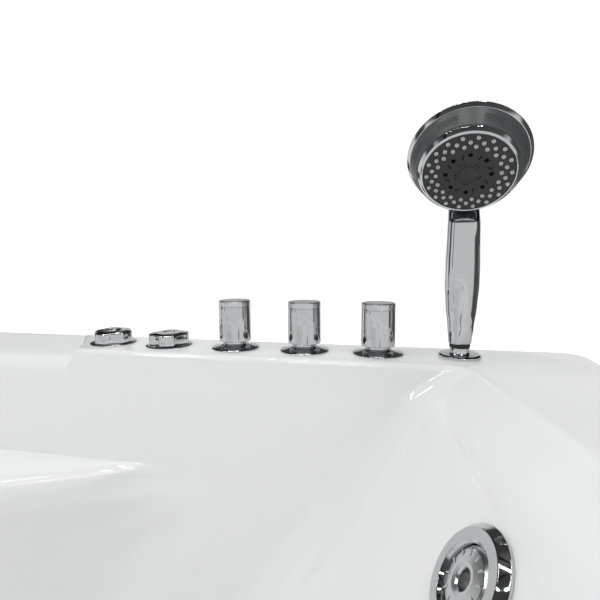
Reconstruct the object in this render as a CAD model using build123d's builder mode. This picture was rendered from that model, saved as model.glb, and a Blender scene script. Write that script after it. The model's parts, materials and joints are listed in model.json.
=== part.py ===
from build123d import *
import os
from math import cos, radians, sin, sqrt, tan

# Corner jetted bathtub with a row of deck fittings and a hand shower.
# Millimetres, +Z up. The origin is on the floor, under the middle of the tub.
# The room side is at -Y, and the room's corner is at -X and +Y.

# Tub outline and deck
LENGTH = 1800.0
WIDTH = 1200.0
DECK_Z = 600.0
SHELL_T = 8.0
LIP_HEIGHT = 46.0
CURVE_RADIUS = 650.0
CORNER_RADIUS = 25.0
DECK_EDGE_RADIUS = 7.0
FRONT_DECK = 79.5
RIGHT_DECK = 79.5
BACK_DECK = 79.5
LEFT_DECK = 124.0
LEFT_BULGE = 62.0

# Basin
BASIN_DEPTH = 430.0
WALL_DRAFT = 17.7
BACKREST_LEAN = 32.3
SHOULDER_DEPTH = 27.0
SHOULDER_RUN = 38.0
RIM_ROUND = 8.0
FLOOR_ROUND_HEIGHT = 50.0
FLOOR_ROUND_RUN = 60.0
FRONT_LEFT_RADIUS = 24.0
BACK_LEFT_RADIUS = 60.0
BACK_RIGHT_RADIUS = 120.0
RADIUS_GROWTH = 0.25

# Armrests along both long walls
ARM_DEPTH = 105.0
ARM_WIDTH = 95.0
ARM_FROM_LEFT = 409.0
ARM_FROM_RIGHT = 570.0
ARM_ANGLE = 25.0
ARM_DRAFT = 6.0
ARM_CORNER_RADIUS = 110.0
ARM_EDGE_RADIUS = 16.0

# Sloped recess in the front deck
RECESS_FROM_LEFT = 553.0
RECESS_FROM_RIGHT = 700.0
RECESS_DROP = 13.0
RECESS_SPLAY = 38.0

# Deck fittings, each measured from the square corner's end
FIXTURE_INSET = 41.0
SHOWER_ALONG = 125.8
HOT_ALONG = 205.3
DIVERTER_ALONG = 282.0
COLD_ALONG = 359.1
AIR_KNOB_ALONG = 438.3
SWITCH_ALONG = 509.1
DECK_HOLE_R = 16.2
BODY_R = 15.8
DECK_NUT_R = 23.0
DECK_NUT_T = 9.0
FIT_GAP = 0.3
EDGE_BREAK = 1.5
SOFT_EDGE = 0.6

# Tall handles
TALL_FLANGE_R = 26.0
TALL_FLANGE_T = 3.4
TALL_NECK_R = 12.5
TALL_NECK_TOP = 8.4
HANDLE_BOTTOM = 8.8
HANDLE_TOP = 52.4
HANDLE_BOTTOM_R = 17.5
HANDLE_TOP_R = 17.1
HANDLE_BAND = 5.0
HANDLE_GROOVE = 0.5
SPINDLE_R = 5.0
SPINDLE_TOP = 40.0
VALVE_BOTTOM = 145.0
INLET_R = 10.5
INLET_LENGTH = 18.0

# Low knobs
LOW_FLANGE_R = 25.6
LOW_FLANGE_T = 2.0
LOW_KNOB_R = 22.0
LOW_KNOB_TOP = 15.0
LOW_SCOOP_R = 26.0
LOW_SCOOP_DEPTH = 2.6
LOW_SCOOPS = 4
LOW_BODY_BOTTOM = 60.0
STEM_R = 6.0
BUTTON_R = 9.5
BUTTON_PROUD = 2.4
BUTTON_TRAVEL = 3.0

# Hand shower
SHOWER_FLANGE_R = 20.1
SHOWER_FLANGE_T = 3.6
SHOWER_NECK_R = 9.3
SHOWER_NECK_TOP = 10.0
SHOWER_GUIDE_R = 11.0
SHOWER_GUIDE_DEPTH = 70.0
GASKET_T = 3.6
SOCKET_R = 7.0
SPIGOT_LENGTH = 22.0
GRIP_BOTTOM_W = 22.0
GRIP_MIDDLE_W = 32.0
GRIP_TOP_W = 28.5
GRIP_BOTTOM_T = 19.0
GRIP_MIDDLE_T = 25.0
GRIP_TOP_T = 22.0
GRIP_MIDDLE_Z = 71.0
GRIP_TOP_Z = 144.0
GRIP_BEND_BACK = 4.0
GRIP_TOP_BACK = 19.0
HEAD_FORWARD = 44.0
HEAD_Z = 169.4
HEAD_TILT = 43.0
HEAD_TURN = 6.0
HEAD_DEPTH = 24.5
HEAD_RING_R = 52.3
HEAD_RING_T = 5.0
HEAD_BACK_DEPTH = 13.0
SELECTOR_BACK_R = 49.5
SELECTOR_FRONT_R = 41.5
SELECTOR_T = 15.0
BEZEL_R = 41.0
PLATE_R = 37.6
PLATE_T = 3.0
NOZZLE_COUNT = 18
NOZZLE_RADII = (26.3, 30.1, 34.2)
NOZZLE_R = 1.3
NOZZLE_PROUD = 1.1
HOLE_RING_R = 18.4
HOLE_COUNT = 8
HOLE_R = 1.9
HEAD_FLOOR_DEPTH = 4.0

# Support frame
RAIL_SIZE = 40.0
RAIL_WALL = 2.5
RAIL_INSET = 340.0
RAIL_END_INSET = 35.0
CROSS_RAIL_ALONG = (55.0, 700.0, 1200.0)
CURVE_POST_ANGLE = -45.0
POST_SIZE = 25.0
POST_INSET = 45.0
BOARD_T = 18.0
BOARD_INSET = 12.0
FOOT_R = 25.0
FOOT_T = 12.0
STUD_R = 6.0
NUT_ACROSS = 19.0
NUT_T = 8.0
FOOT_INSET = 40.0

# Apron
APRON_T = 5.0
APRON_BOTTOM = 18.0
APRON_OVERLAP = 22.0
APRON_RETURN = 9.0
SCREW_HEAD_R = 6.0
SCREW_HEAD_T = 2.4
SCREW_R = 2.4

# Circulation pump
PLATE_THICK = 6.0
PLATE_WIDTH = 130.0
PLATE_PAST_RAIL = 25.0
PUMP_ALONG = 155.0
PUMP_RISE = 80.0
VOLUTE_R = 72.0
VOLUTE_WALL = 8.0
VOLUTE_FRONT_Y = -60.0
VOLUTE_BACK_Y = 10.0
IMPELLER_R = 52.0
IMPELLER_T = 26.0
IMPELLER_VANES = 6
VANE_T = 3.0
VANE_ANGLE = 25.0
SHAFT_R = 8.0
SHAFT_TAIL = 60.0
MOTOR_R = 62.0
MOTOR_LENGTH = 210.0
MOTOR_RIBS = 24
MOTOR_RIB_H = 5.0
MOTOR_RIB_T = 3.0
FAN_COVER_LENGTH = 38.0
FAN_COVER_WALL = 2.0
FAN_HOLES = 8
TERMINAL_BOX_X = 64.0
TERMINAL_BOX_Y = 84.0
TERMINAL_BOX_Z = 34.0
TERMINAL_BOX_RADIUS = 6.0
PORT_R = 27.0
PORT_LENGTH = 46.0

# Pipework
WATER_R = 16.0
WATER_WALL = 2.5
WATER_END_INSET = 100.0
WATER_INSET = 110.0
SLEEVE_WALL = 4.0
PIPE_FIT = 0.1
SUCTION_R = 20.0
AIR_R = 10.0
AIR_WALL = 1.5
AIR_RISE = 57.0
AIR_END_INSET = 65.0
AIR_INSET = 95.0
FILLER_R = 11.0
FILLER_Z = 470.0
FILLER_END_INSET = 50.0
FILLER_INSET = 85.0
BEND_RADIUS = 60.0
SUCTION_BEND = 45.0
TIGHT_BEND = 20.0
STUB_R = 12.5
STUB_BORE_R = 7.0
PIPE_TAIL = 30.0

# Jets
JET_DEPTH = 250.0
JET_ALONG = (670.0, 970.0)
BACK_JET_DEPTH = 64.0
BACK_JET_INSET = 270.0
JET_BODY_R = 21.5
JET_HOLE_R = 22.0
JET_BORE_R = 18.8
JET_RING_R = 31.0
JET_RING_T = 6.0
JET_RING_SLOPE = 4.0
JET_SEAT_GAP = 0.5
NOZZLE_FACE_R = 18.5
NOZZLE_DEPTH = 14.0
NOZZLE_BORE_R = 5.5
JET_NUT_R = 28.0
JET_NUT_T = 12.0
NUT_SEAT = 0.6
CURVED_NUT_SEAT = 1.6

# Suction fitting
SUCTION_DEPTH = 330.0
SUCTION_INSET = 400.0
GRILLE_R = 48.0
GRILLE_T = 10.0
GRILLE_SEAT_GAP = 0.9
GRILLE_HOLE_R = 2.6
GRILLE_FACE_T = 3.0

# Waste and overflow
DRAIN_FROM_RIGHT = 420.0
DRAIN_FROM_BACK = 420.0
DRAIN_FLANGE_R = 35.0
DRAIN_FLANGE_T = 2.5
DRAIN_TUBE_R = 22.0
DRAIN_BORE_R = 19.0
DRAIN_TUBE_BOTTOM = 118.0
PLUG_R = 27.0
PLUG_T = 5.0
PLUG_STEM_R = 4.0
PLUG_STEM_LENGTH = 34.0
TRAP_R = 30.0
TRAP_BOTTOM = 52.0
WASTE_R = 20.0
WASTE_WALL = 2.5
WASTE_Z = 80.0
WASTE_LENGTH = 42.0
OVERFLOW_DEPTH = 90.0
OVERFLOW_PIPE_INSET = 55.0
OVERFLOW_FLANGE_R = 37.0
OVERFLOW_FLANGE_T = 5.0
ROSETTE_R = 33.0
ROSETTE_T = 13.0
ROSETTE_STEM_R = 8.0
ROSETTE_NOTCHES = 4
ROSETTE_NOTCH_R = 12.0
ROSETTE_NOTCH_AT = 42.0
OVERFLOW_HOLES = 6
OVERFLOW_HOLE_R = 3.5

# Worked-out places
LEFT = -LENGTH / 2
RIGHT = LENGTH / 2
FRONT = -WIDTH / 2
BACK = WIDTH / 2
FIXTURE_Y = FRONT + FIXTURE_INSET
SHOWER_X = LEFT + SHOWER_ALONG
HOT_X = LEFT + HOT_ALONG
DIVERTER_X = LEFT + DIVERTER_ALONG
COLD_X = LEFT + COLD_ALONG
AIR_KNOB_X = LEFT + AIR_KNOB_ALONG
SWITCH_X = LEFT + SWITCH_ALONG
ARM_START_X = LEFT + ARM_FROM_LEFT
ARM_END_X = RIGHT - ARM_FROM_RIGHT
RECESS_START_X = LEFT + RECESS_FROM_LEFT
RECESS_END_X = RIGHT - RECESS_FROM_RIGHT
JET_X = [LEFT + along for along in JET_ALONG]
BACK_JET_Y = BACK - BACK_JET_INSET
SUCTION_Y = FRONT + SUCTION_INSET
DRAIN_X = RIGHT - DRAIN_FROM_RIGHT
DRAIN_Y = BACK - DRAIN_FROM_BACK
RAIL_Y = BACK - RAIL_INSET
RAIL_END_X = RIGHT - RAIL_END_INSET
CROSS_RAIL_X = [LEFT + along for along in CROSS_RAIL_ALONG]
PLATE_END_Y = RAIL_Y + PLATE_PAST_RAIL
PUMP_X = LEFT + PUMP_ALONG
WATER_X = LEFT + WATER_END_INSET
WATER_Y = BACK - WATER_INSET
AIR_X = LEFT + AIR_END_INSET
AIR_Y = BACK - AIR_INSET
FILLER_X = LEFT + FILLER_END_INSET
FILLER_Y = BACK - FILLER_INSET
OVERFLOW_PIPE_Y = BACK - OVERFLOW_PIPE_INSET
CURVE_X = RIGHT - CURVE_RADIUS
CURVE_Y = FRONT + CURVE_RADIUS
WALL_SLOPE = tan(radians(WALL_DRAFT))
LEAN_SLOPE = tan(radians(BACKREST_LEAN))
FLOOR_Z = DECK_Z - BASIN_DEPTH
BOARD_TOP = FLOOR_Z - SHELL_T
LONG_RAIL_Z = BOARD_TOP - BOARD_T - RAIL_SIZE
CROSS_RAIL_Z = LONG_RAIL_Z - RAIL_SIZE
PLATE_Z = LONG_RAIL_Z + RAIL_SIZE
PUMP_Z = PLATE_Z + PLATE_THICK + PUMP_RISE
UNDER_DECK = DECK_Z - SHELL_T
APRON_FACE = SHELL_T + FIT_GAP
APRON_TOP = DECK_Z - LIP_HEIGHT + APRON_OVERLAP

# Where a cylinder or a box starts, along its plane's +Z
UPWARD = (Align.CENTER, Align.CENTER, Align.MIN)
DOWNWARD = (Align.CENTER, Align.CENTER, Align.MAX)

os.makedirs("parts", exist_ok=True)


def write(piece, label):
    """Labels a finished piece and writes it."""
    piece.part.label = label
    export_step(piece.part, f"parts/{label}.step")


def wall_inset(depth):
    """How far the straight walls stand in from the deck's inner edge, at a depth."""
    return depth * WALL_SLOPE


def left_inset(depth):
    """The same for the backrest end: a shallow shoulder, then the leaning back."""
    if depth <= SHOULDER_DEPTH:
        return SHOULDER_RUN * depth / SHOULDER_DEPTH
    return SHOULDER_RUN + (depth - SHOULDER_DEPTH) * LEAN_SLOPE


def bulge_offset(along, half_chord, sag):
    """How far an arc of a given sag stands out at a distance from its middle."""
    radius = (half_chord**2 + sag**2) / (2 * sag)
    return sqrt(radius**2 - along**2) - (radius - sag)


def left_wall_x(y, depth):
    """X of the backrest's face at a place along it and a depth below the deck."""
    half_chord = BACK - BACK_DECK - wall_inset(depth)
    return LEFT + LEFT_DECK + left_inset(depth) - bulge_offset(y, half_chord, LEFT_BULGE)


def outline(sketch_inset):
    """The deck's outer outline, set in by a distance."""
    left = LEFT + sketch_inset
    right = RIGHT - sketch_inset
    front = FRONT + sketch_inset
    back = BACK - sketch_inset
    corner = CORNER_RADIUS - sketch_inset if sketch_inset < CORNER_RADIUS - 1 else 1.0
    with BuildSketch() as face:
        with BuildLine():
            Line((left, front), (CURVE_X, front))
            CenterArc((CURVE_X, CURVE_Y), CURVE_RADIUS - sketch_inset, -90, 90)
            Line((right, CURVE_Y), (right, back))
            Line((right, back), (left, back))
            Line((left, back), (left, front))
        make_face()
        square_corners = [face.vertices().sort_by_distance(place)[0] for place in
                          ((left, front), (left, back), (right, back))]
        fillet(square_corners, corner)
    return face.sketch


def basin_section(depth, outset, grow):
    """The basin's outline at one level."""
    spread = outset + grow
    side = wall_inset(depth) - spread
    left = LEFT + LEFT_DECK + left_inset(depth) - spread
    right = RIGHT - RIGHT_DECK - side
    front = FRONT + FRONT_DECK + side
    back = BACK - BACK_DECK - side
    curve = CURVE_RADIUS - FRONT_DECK - side
    growth = depth * RADIUS_GROWTH
    with BuildSketch() as face:
        with BuildLine():
            Line((left, front), (CURVE_X, front))
            CenterArc((CURVE_X, CURVE_Y), curve, -90, 90)
            Line((right, CURVE_Y), (right, back))
            Line((right, back), (left, back))
            ThreePointArc((left, back), (left - LEFT_BULGE, 0), (left, front))
        make_face()
        front_left = face.vertices().sort_by_distance((left, front))[0]
        fillet(front_left, FRONT_LEFT_RADIUS + growth + spread)
        back_left = face.vertices().sort_by_distance((left, back))[0]
        fillet(back_left, BACK_LEFT_RADIUS + growth + spread)
        back_right = face.vertices().sort_by_distance((right, back))[0]
        wall_run = back - CURVE_Y
        fillet(back_right, min(BACK_RIGHT_RADIUS + growth + spread, wall_run - RIM_ROUND))
    return face.sketch


def basin_levels():
    """Depth and outward offset of each level, with the rounded rim and floor edge."""
    levels = []
    for angle in (0, 30, 60):
        levels.append((RIM_ROUND * (1 - cos(radians(angle))), RIM_ROUND * (1 - sin(radians(angle)))))
    levels += [(RIM_ROUND, 0.0), (SHOULDER_DEPTH, 0.0), (BASIN_DEPTH - FLOOR_ROUND_HEIGHT, 0.0)]
    for angle in (30, 55, 75, 90):
        depth = BASIN_DEPTH - FLOOR_ROUND_HEIGHT * (1 - sin(radians(angle)))
        levels.append((depth, -FLOOR_ROUND_RUN * (1 - cos(radians(angle)))))
    return levels


def basin_form(grow):
    """The basin as a solid: its hollow, or with grow, the outside of its wall."""
    with BuildPart() as form:
        for depth, outset in basin_levels():
            with BuildSketch(Plane.XY.offset(DECK_Z - depth - grow)):
                add(basin_section(depth, outset, grow))
        loft(ruled=True)
    return form.part


def arm_form(side, grow):
    """One armrest as a solid that stands in the basin, smaller by the wall with grow."""
    top = DECK_Z - ARM_DEPTH - grow
    drop = top - FLOOR_Z + 2 * FLOOR_ROUND_HEIGHT
    wall_y = WIDTH / 2 - FRONT_DECK - wall_inset(ARM_DEPTH)
    splay = 1 / tan(radians(ARM_ANGLE))
    with BuildPart() as form:
        for down in (0.0, drop):
            widen = down * tan(radians(ARM_DRAFT)) - grow
            inner = wall_y - ARM_WIDTH - widen
            reach = (WIDTH / 2 - wall_y) * splay
            start = ARM_START_X - widen * splay / 2
            end = ARM_END_X + widen * splay / 2
            with BuildSketch(Plane.XY.offset(top - down)) as level:
                with BuildLine():
                    Polyline(
                        (start - reach, side * WIDTH / 2),
                        (start + ARM_WIDTH * splay, side * inner),
                        (end - ARM_WIDTH * splay, side * inner),
                        (end + reach, side * WIDTH / 2),
                        close=True,
                    )
                make_face()
                inner_y = side * inner
                inner_corners = level.vertices().filter_by_position(Axis.Y, inner_y - 1, inner_y + 1)
                fillet(inner_corners, ARM_CORNER_RADIUS)
        loft(ruled=True)
        fillet(form.faces().sort_by(Axis.Z)[-1].edges(), ARM_EDGE_RADIUS - grow)
    return form.part


# Planes of the jets, the suction fitting and the overflow, each with +Z into the basin
arm_wall_y = WIDTH / 2 - FRONT_DECK - wall_inset(ARM_DEPTH) - ARM_WIDTH
jet_face_y = arm_wall_y - (JET_DEPTH - ARM_DEPTH) * tan(radians(ARM_DRAFT))
jet_planes = []
for side in (-1, 1):
    for x in JET_X:
        jet_planes.append(
            Plane(
                origin=(x, side * jet_face_y, DECK_Z - JET_DEPTH),
                x_dir=(1, 0, 0),
                z_dir=(0, -side * cos(radians(ARM_DRAFT)), sin(radians(ARM_DRAFT))),
            )
        )
side_reach = (WATER_Y - jet_face_y) / cos(radians(ARM_DRAFT))
WATER_Z = DECK_Z - JET_DEPTH - side_reach * sin(radians(ARM_DRAFT))


def backrest_plane(y, depth):
    """A plane on the leaning end, square to it where the end bulges."""
    half_chord = BACK - BACK_DECK - wall_inset(depth)
    radius = (half_chord**2 + LEFT_BULGE**2) / (2 * LEFT_BULGE)
    turn = -y / radius
    tilt = radians(BACKREST_LEAN)
    normal = (cos(tilt) * sqrt(1 - turn**2), cos(tilt) * turn, sin(tilt))
    return Plane(origin=(left_wall_x(y, depth), y, DECK_Z - depth), x_dir=(-turn, 1, 0), z_dir=normal)


back_jet_planes = [backrest_plane(-BACK_JET_Y, BACK_JET_DEPTH), backrest_plane(BACK_JET_Y, BACK_JET_DEPTH)]
suction_plane = backrest_plane(SUCTION_Y, SUCTION_DEPTH)
overflow_plane = Plane(
    origin=(DRAIN_X, BACK - BACK_DECK - wall_inset(OVERFLOW_DEPTH), DECK_Z - OVERFLOW_DEPTH),
    x_dir=(1, 0, 0),
    z_dir=(0, -cos(radians(WALL_DRAFT)), sin(radians(WALL_DRAFT))),
)
fixture_xs = (SHOWER_X, HOT_X, DIVERTER_X, COLD_X, AIR_KNOB_X, SWITCH_X)

# Forms that the shell is made of
basin_hollow = basin_form(0.0)
basin_outside = basin_form(SHELL_T)
arms_hollow = [arm_form(-1, 0.0), arm_form(1, 0.0)]
arms_outside = [arm_form(-1, SHELL_T), arm_form(1, SHELL_T)]

with BuildPart() as hollow:
    add(basin_hollow)
    for arm in arms_hollow:
        add(arm, mode=Mode.SUBTRACT)

with BuildPart() as wall_outside:
    add(basin_outside)
    for arm in arms_outside:
        add(arm, mode=Mode.SUBTRACT)

recess_edge = FRONT + FRONT_DECK + RIM_ROUND


def recess_plan(grow):
    """The recess seen from above, with splayed ends, wider by a wall with grow."""
    with BuildSketch() as plan:
        with BuildLine():
            Polyline(
                (RECESS_START_X + RECESS_SPLAY / 2 - grow, FRONT),
                (RECESS_START_X - RECESS_SPLAY / 2 - grow, recess_edge),
                (RECESS_END_X + RECESS_SPLAY / 2 + grow, recess_edge),
                (RECESS_END_X - RECESS_SPLAY / 2 + grow, FRONT),
                close=True,
            )
        make_face()
    return plan.sketch


with BuildPart() as recess_cut:
    with BuildSketch(Plane.YZ.offset(RECESS_START_X - RECESS_SPLAY)):
        with BuildLine():
            Polyline(
                (FRONT, DECK_Z),
                (recess_edge, DECK_Z - RECESS_DROP),
                (recess_edge, DECK_Z + RECESS_DROP),
                (FRONT, DECK_Z + RECESS_DROP),
                close=True,
            )
        make_face()
    extrude(amount=RECESS_END_X - RECESS_START_X + 2 * RECESS_SPLAY)
    with BuildSketch(Plane.XY.offset(DECK_Z - 2 * RECESS_DROP)):
        add(recess_plan(0.0))
    extrude(amount=4 * RECESS_DROP, mode=Mode.INTERSECT)

with BuildPart() as tub_shell:
    with BuildSketch(Plane.XY.offset(UNDER_DECK)):
        add(outline(0.0))
    extrude(amount=SHELL_T)
    fillet(tub_shell.faces().sort_by(Axis.Z)[-1].edges(), DECK_EDGE_RADIUS)
    with BuildSketch(Plane.XY.offset(DECK_Z - LIP_HEIGHT)):
        add(outline(0.0))
        add(outline(SHELL_T), mode=Mode.SUBTRACT)
    extrude(amount=LIP_HEIGHT - SHELL_T)
    with BuildSketch(Plane.XY.offset(UNDER_DECK - RECESS_DROP)):
        add(recess_plan(SHELL_T))
    extrude(amount=RECESS_DROP + 1)
    add(wall_outside.part)
    add(hollow.part, mode=Mode.SUBTRACT)
    add(recess_cut.part, mode=Mode.SUBTRACT)
    with Locations(*[(x, FIXTURE_Y, UNDER_DECK) for x in fixture_xs]):
        Cylinder(DECK_HOLE_R, 3 * SHELL_T, mode=Mode.SUBTRACT)
    for plane in jet_planes + back_jet_planes:
        with Locations(plane):
            Cylinder(JET_HOLE_R, 6 * SHELL_T, mode=Mode.SUBTRACT)
    with Locations(suction_plane):
        Cylinder(SUCTION_R + SLEEVE_WALL + FIT_GAP, 6 * SHELL_T, mode=Mode.SUBTRACT)
    with Locations(overflow_plane):
        Cylinder(DRAIN_TUBE_R + FIT_GAP, 6 * SHELL_T, mode=Mode.SUBTRACT)
    with Locations((DRAIN_X, DRAIN_Y, FLOOR_Z)):
        Cylinder(DRAIN_TUBE_R + FIT_GAP, 6 * SHELL_T, mode=Mode.SUBTRACT)
write(tub_shell, "tub_shell")


def bar(start, end, size, wall):
    """A closed square tube between two points on one axis, resting on its start height."""
    low = Vector(min(start[0], end[0]), min(start[1], end[1]), min(start[2], end[2]))
    high = Vector(max(start[0], end[0]), max(start[1], end[1]), max(start[2], end[2]))
    run = high - low
    grow = Vector(*[0 if length > 0 else size for length in (run.X, run.Y, run.Z)])
    outer = run + grow
    middle = low + run / 2
    with BuildPart() as tube:
        with Locations(middle):
            Box(outer.X, outer.Y, outer.Z)
            Box(outer.X - 2 * wall, outer.Y - 2 * wall, outer.Z - 2 * wall, mode=Mode.SUBTRACT)
    return tube.part


def pipe(points, radii, radius, wall, closed_ends):
    """A round pipe along straight runs joined by bends."""
    with BuildPart() as tube:
        with BuildLine() as route:
            FilletPolyline(*points, radius=radii)
        start = Plane(origin=route.line @ 0, z_dir=route.line % 0)
        with BuildSketch(start):
            Circle(radius)
            Circle(radius - wall, mode=Mode.SUBTRACT)
        sweep(path=route.line)
        if closed_ends:
            for place in (0, 1):
                outward = (route.line % place) * (1 if place else -1)
                with BuildSketch(Plane(origin=route.line @ place, z_dir=outward)):
                    Circle(radius)
                extrude(amount=wall)
    return tube.part


def rod(centre, direction, radius, length):
    """A round bar about a centre, along a direction."""
    with BuildPart() as piece:
        with Locations(Plane(origin=centre, z_dir=direction)):
            Cylinder(radius, length)
    return piece.part


def turned(profile):
    """A piece turned about Z from a profile of radius and height points."""
    with BuildPart() as piece:
        with BuildSketch(Plane.XZ):
            with BuildLine():
                Polyline(*profile, close=True)
            make_face()
        revolve(axis=Axis.Z)
    return piece.part


# Board bonded under the basin's floor
with BuildPart() as base_board:
    with BuildSketch(Plane.XY.offset(PLATE_Z)):
        add(basin_section(BASIN_DEPTH, -FLOOR_ROUND_RUN, -BOARD_INSET))
        with Locations((DRAIN_X, DRAIN_Y)):
            Circle(DRAIN_TUBE_R + EDGE_BREAK, mode=Mode.SUBTRACT)
    extrude(amount=BOARD_T)
write(base_board, "base_board")

# Support frame: cross rails on the feet, long rails on them, posts up to the deck
inner_panel = APRON_FACE + APRON_T + FIT_GAP
curve_post_r = CURVE_RADIUS - POST_INSET
curve_rail_x = CURVE_X + curve_post_r * cos(radians(CURVE_POST_ANGLE))
curve_post_y = CURVE_Y + curve_post_r * sin(radians(CURVE_POST_ANGLE))
rail_corner_x = curve_rail_x + RAIL_SIZE / 2 - CURVE_X
curve_rail_front = CURVE_Y - sqrt((CURVE_RADIUS - inner_panel) ** 2 - rail_corner_x**2)
rail_back = BACK - SHELL_T - FIT_GAP
cross_ends = [(x, FRONT + inner_panel) for x in CROSS_RAIL_X] + [(curve_rail_x, curve_rail_front)]
last_front = FRONT + inner_panel
if CROSS_RAIL_X[-1] > CURVE_X:
    corner_x = CROSS_RAIL_X[-1] + RAIL_SIZE / 2 - CURVE_X
    last_front = CURVE_Y - sqrt((CURVE_RADIUS - inner_panel) ** 2 - corner_x**2)
cross_ends[-2] = (CROSS_RAIL_X[-1], last_front)
rail_mid = RAIL_SIZE / 2
screw_z = CROSS_RAIL_Z + rail_mid
screw_places = [(x, FRONT + APRON_FACE, screw_z) for x in CROSS_RAIL_X[:-1]]

with BuildPart() as cross_rails:
    for x, front_end in cross_ends:
        add(bar((x, front_end, screw_z), (x, rail_back, screw_z), RAIL_SIZE, RAIL_WALL))
    for place in screw_places:
        add(rod(place, (0, 1, 0), SCREW_R + PIPE_FIT, 2 * RAIL_SIZE), mode=Mode.SUBTRACT)
write(cross_rails, "cross_rails")

front_corner_y = RAIL_Y + rail_mid + CURVE_Y
long_rail_right = CURVE_X + sqrt((CURVE_RADIUS - inner_panel) ** 2 - front_corner_y**2)
with BuildPart() as long_rails:
    rail_z = LONG_RAIL_Z + rail_mid
    add(bar((-RAIL_END_X, -RAIL_Y, rail_z), (long_rail_right, -RAIL_Y, rail_z), RAIL_SIZE, RAIL_WALL))
    add(bar((-RAIL_END_X, RAIL_Y, rail_z), (RIGHT - inner_panel, RAIL_Y, rail_z), RAIL_SIZE, RAIL_WALL))
write(long_rails, "long_rails")

back_post_y = BACK - POST_INSET
post_places = [(CROSS_RAIL_X[0], -back_post_y), (CROSS_RAIL_X[-1], -back_post_y)]
post_places.append((curve_rail_x, curve_post_y))
post_places += [(x, back_post_y) for x, front_end in cross_ends]
with BuildPart() as rim_posts:
    for x, y in post_places:
        add(bar((x, y, LONG_RAIL_Z), (x, y, UNDER_DECK), POST_SIZE, RAIL_WALL))
write(rim_posts, "rim_posts")

foot_places = [(x, front_end + FOOT_INSET) for x, front_end in cross_ends]
foot_places += [(x, rail_back - FOOT_INSET) for x, front_end in cross_ends]
with BuildPart() as leveling_feet:
    with Locations(*foot_places):
        add(
            turned(
                (
                    (0, 0),
                    (FOOT_R, 0),
                    (FOOT_R, FOOT_T / 2),
                    (2 * STUD_R, FOOT_T),
                    (STUD_R, FOOT_T),
                    (STUD_R, CROSS_RAIL_Z),
                    (0, CROSS_RAIL_Z),
                )
            )
        )
write(leveling_feet, "leveling_feet")

with BuildPart() as foot_locknuts:
    with BuildSketch(Plane.XY.offset(CROSS_RAIL_Z - NUT_T)):
        with Locations(*foot_places):
            RegularPolygon(NUT_ACROSS / 2, 6, major_radius=False)
            Circle(STUD_R + PIPE_FIT, mode=Mode.SUBTRACT)
    extrude(amount=NUT_T)
write(foot_locknuts, "foot_locknuts")


# Apron round the two room sides, tucked behind the deck's lip
def apron_strip(depth_in):
    """The apron's plan, from its face to a distance behind it."""
    end_cut = CORNER_RADIUS + APRON_RETURN
    with BuildSketch() as strip:
        add(outline(APRON_FACE))
        add(outline(APRON_FACE + depth_in), mode=Mode.SUBTRACT)
        with Locations((LEFT, 0)):
            Rectangle(2 * end_cut, 2 * WIDTH, mode=Mode.SUBTRACT)
        with Locations((0, BACK)):
            Rectangle(2 * LENGTH, 2 * end_cut, mode=Mode.SUBTRACT)
    return strip.sketch


with BuildPart() as apron_panel:
    with BuildSketch(Plane.XY.offset(APRON_BOTTOM)):
        add(apron_strip(APRON_T))
    extrude(amount=APRON_TOP - APRON_BOTTOM)
    for level in (APRON_BOTTOM, APRON_TOP - APRON_T):
        with BuildSketch(Plane.XY.offset(level)):
            add(apron_strip(APRON_T + APRON_RETURN))
        extrude(amount=APRON_T)
    for place in screw_places:
        add(rod(place, (0, 1, 0), SCREW_R + PIPE_FIT, 4 * APRON_T), mode=Mode.SUBTRACT)
write(apron_panel, "apron_panel")

with BuildPart() as apron_screws:
    for x, y, z in screw_places:
        with Locations(Plane(origin=(x, y, z), z_dir=(0, -1, 0))):
            add(
                turned(
                    (
                        (0, SCREW_HEAD_T),
                        (SCREW_HEAD_R / 2, SCREW_HEAD_T),
                        (SCREW_HEAD_R, SCREW_HEAD_T / 3),
                        (SCREW_HEAD_R, 0),
                        (SCREW_R, 0),
                        (SCREW_R, -3 * APRON_T),
                        (0, -3 * APRON_T),
                    )
                )
            )
write(apron_screws, "apron_screws")

# Circulation pump on a plate across the long rails
with BuildPart() as pump_mount_plate:
    with Locations((PUMP_X, 0, PLATE_Z)):
        Box(PLATE_WIDTH, 2 * PLATE_END_Y, PLATE_THICK, align=UPWARD)
write(pump_mount_plate, "pump_mount_plate")

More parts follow.
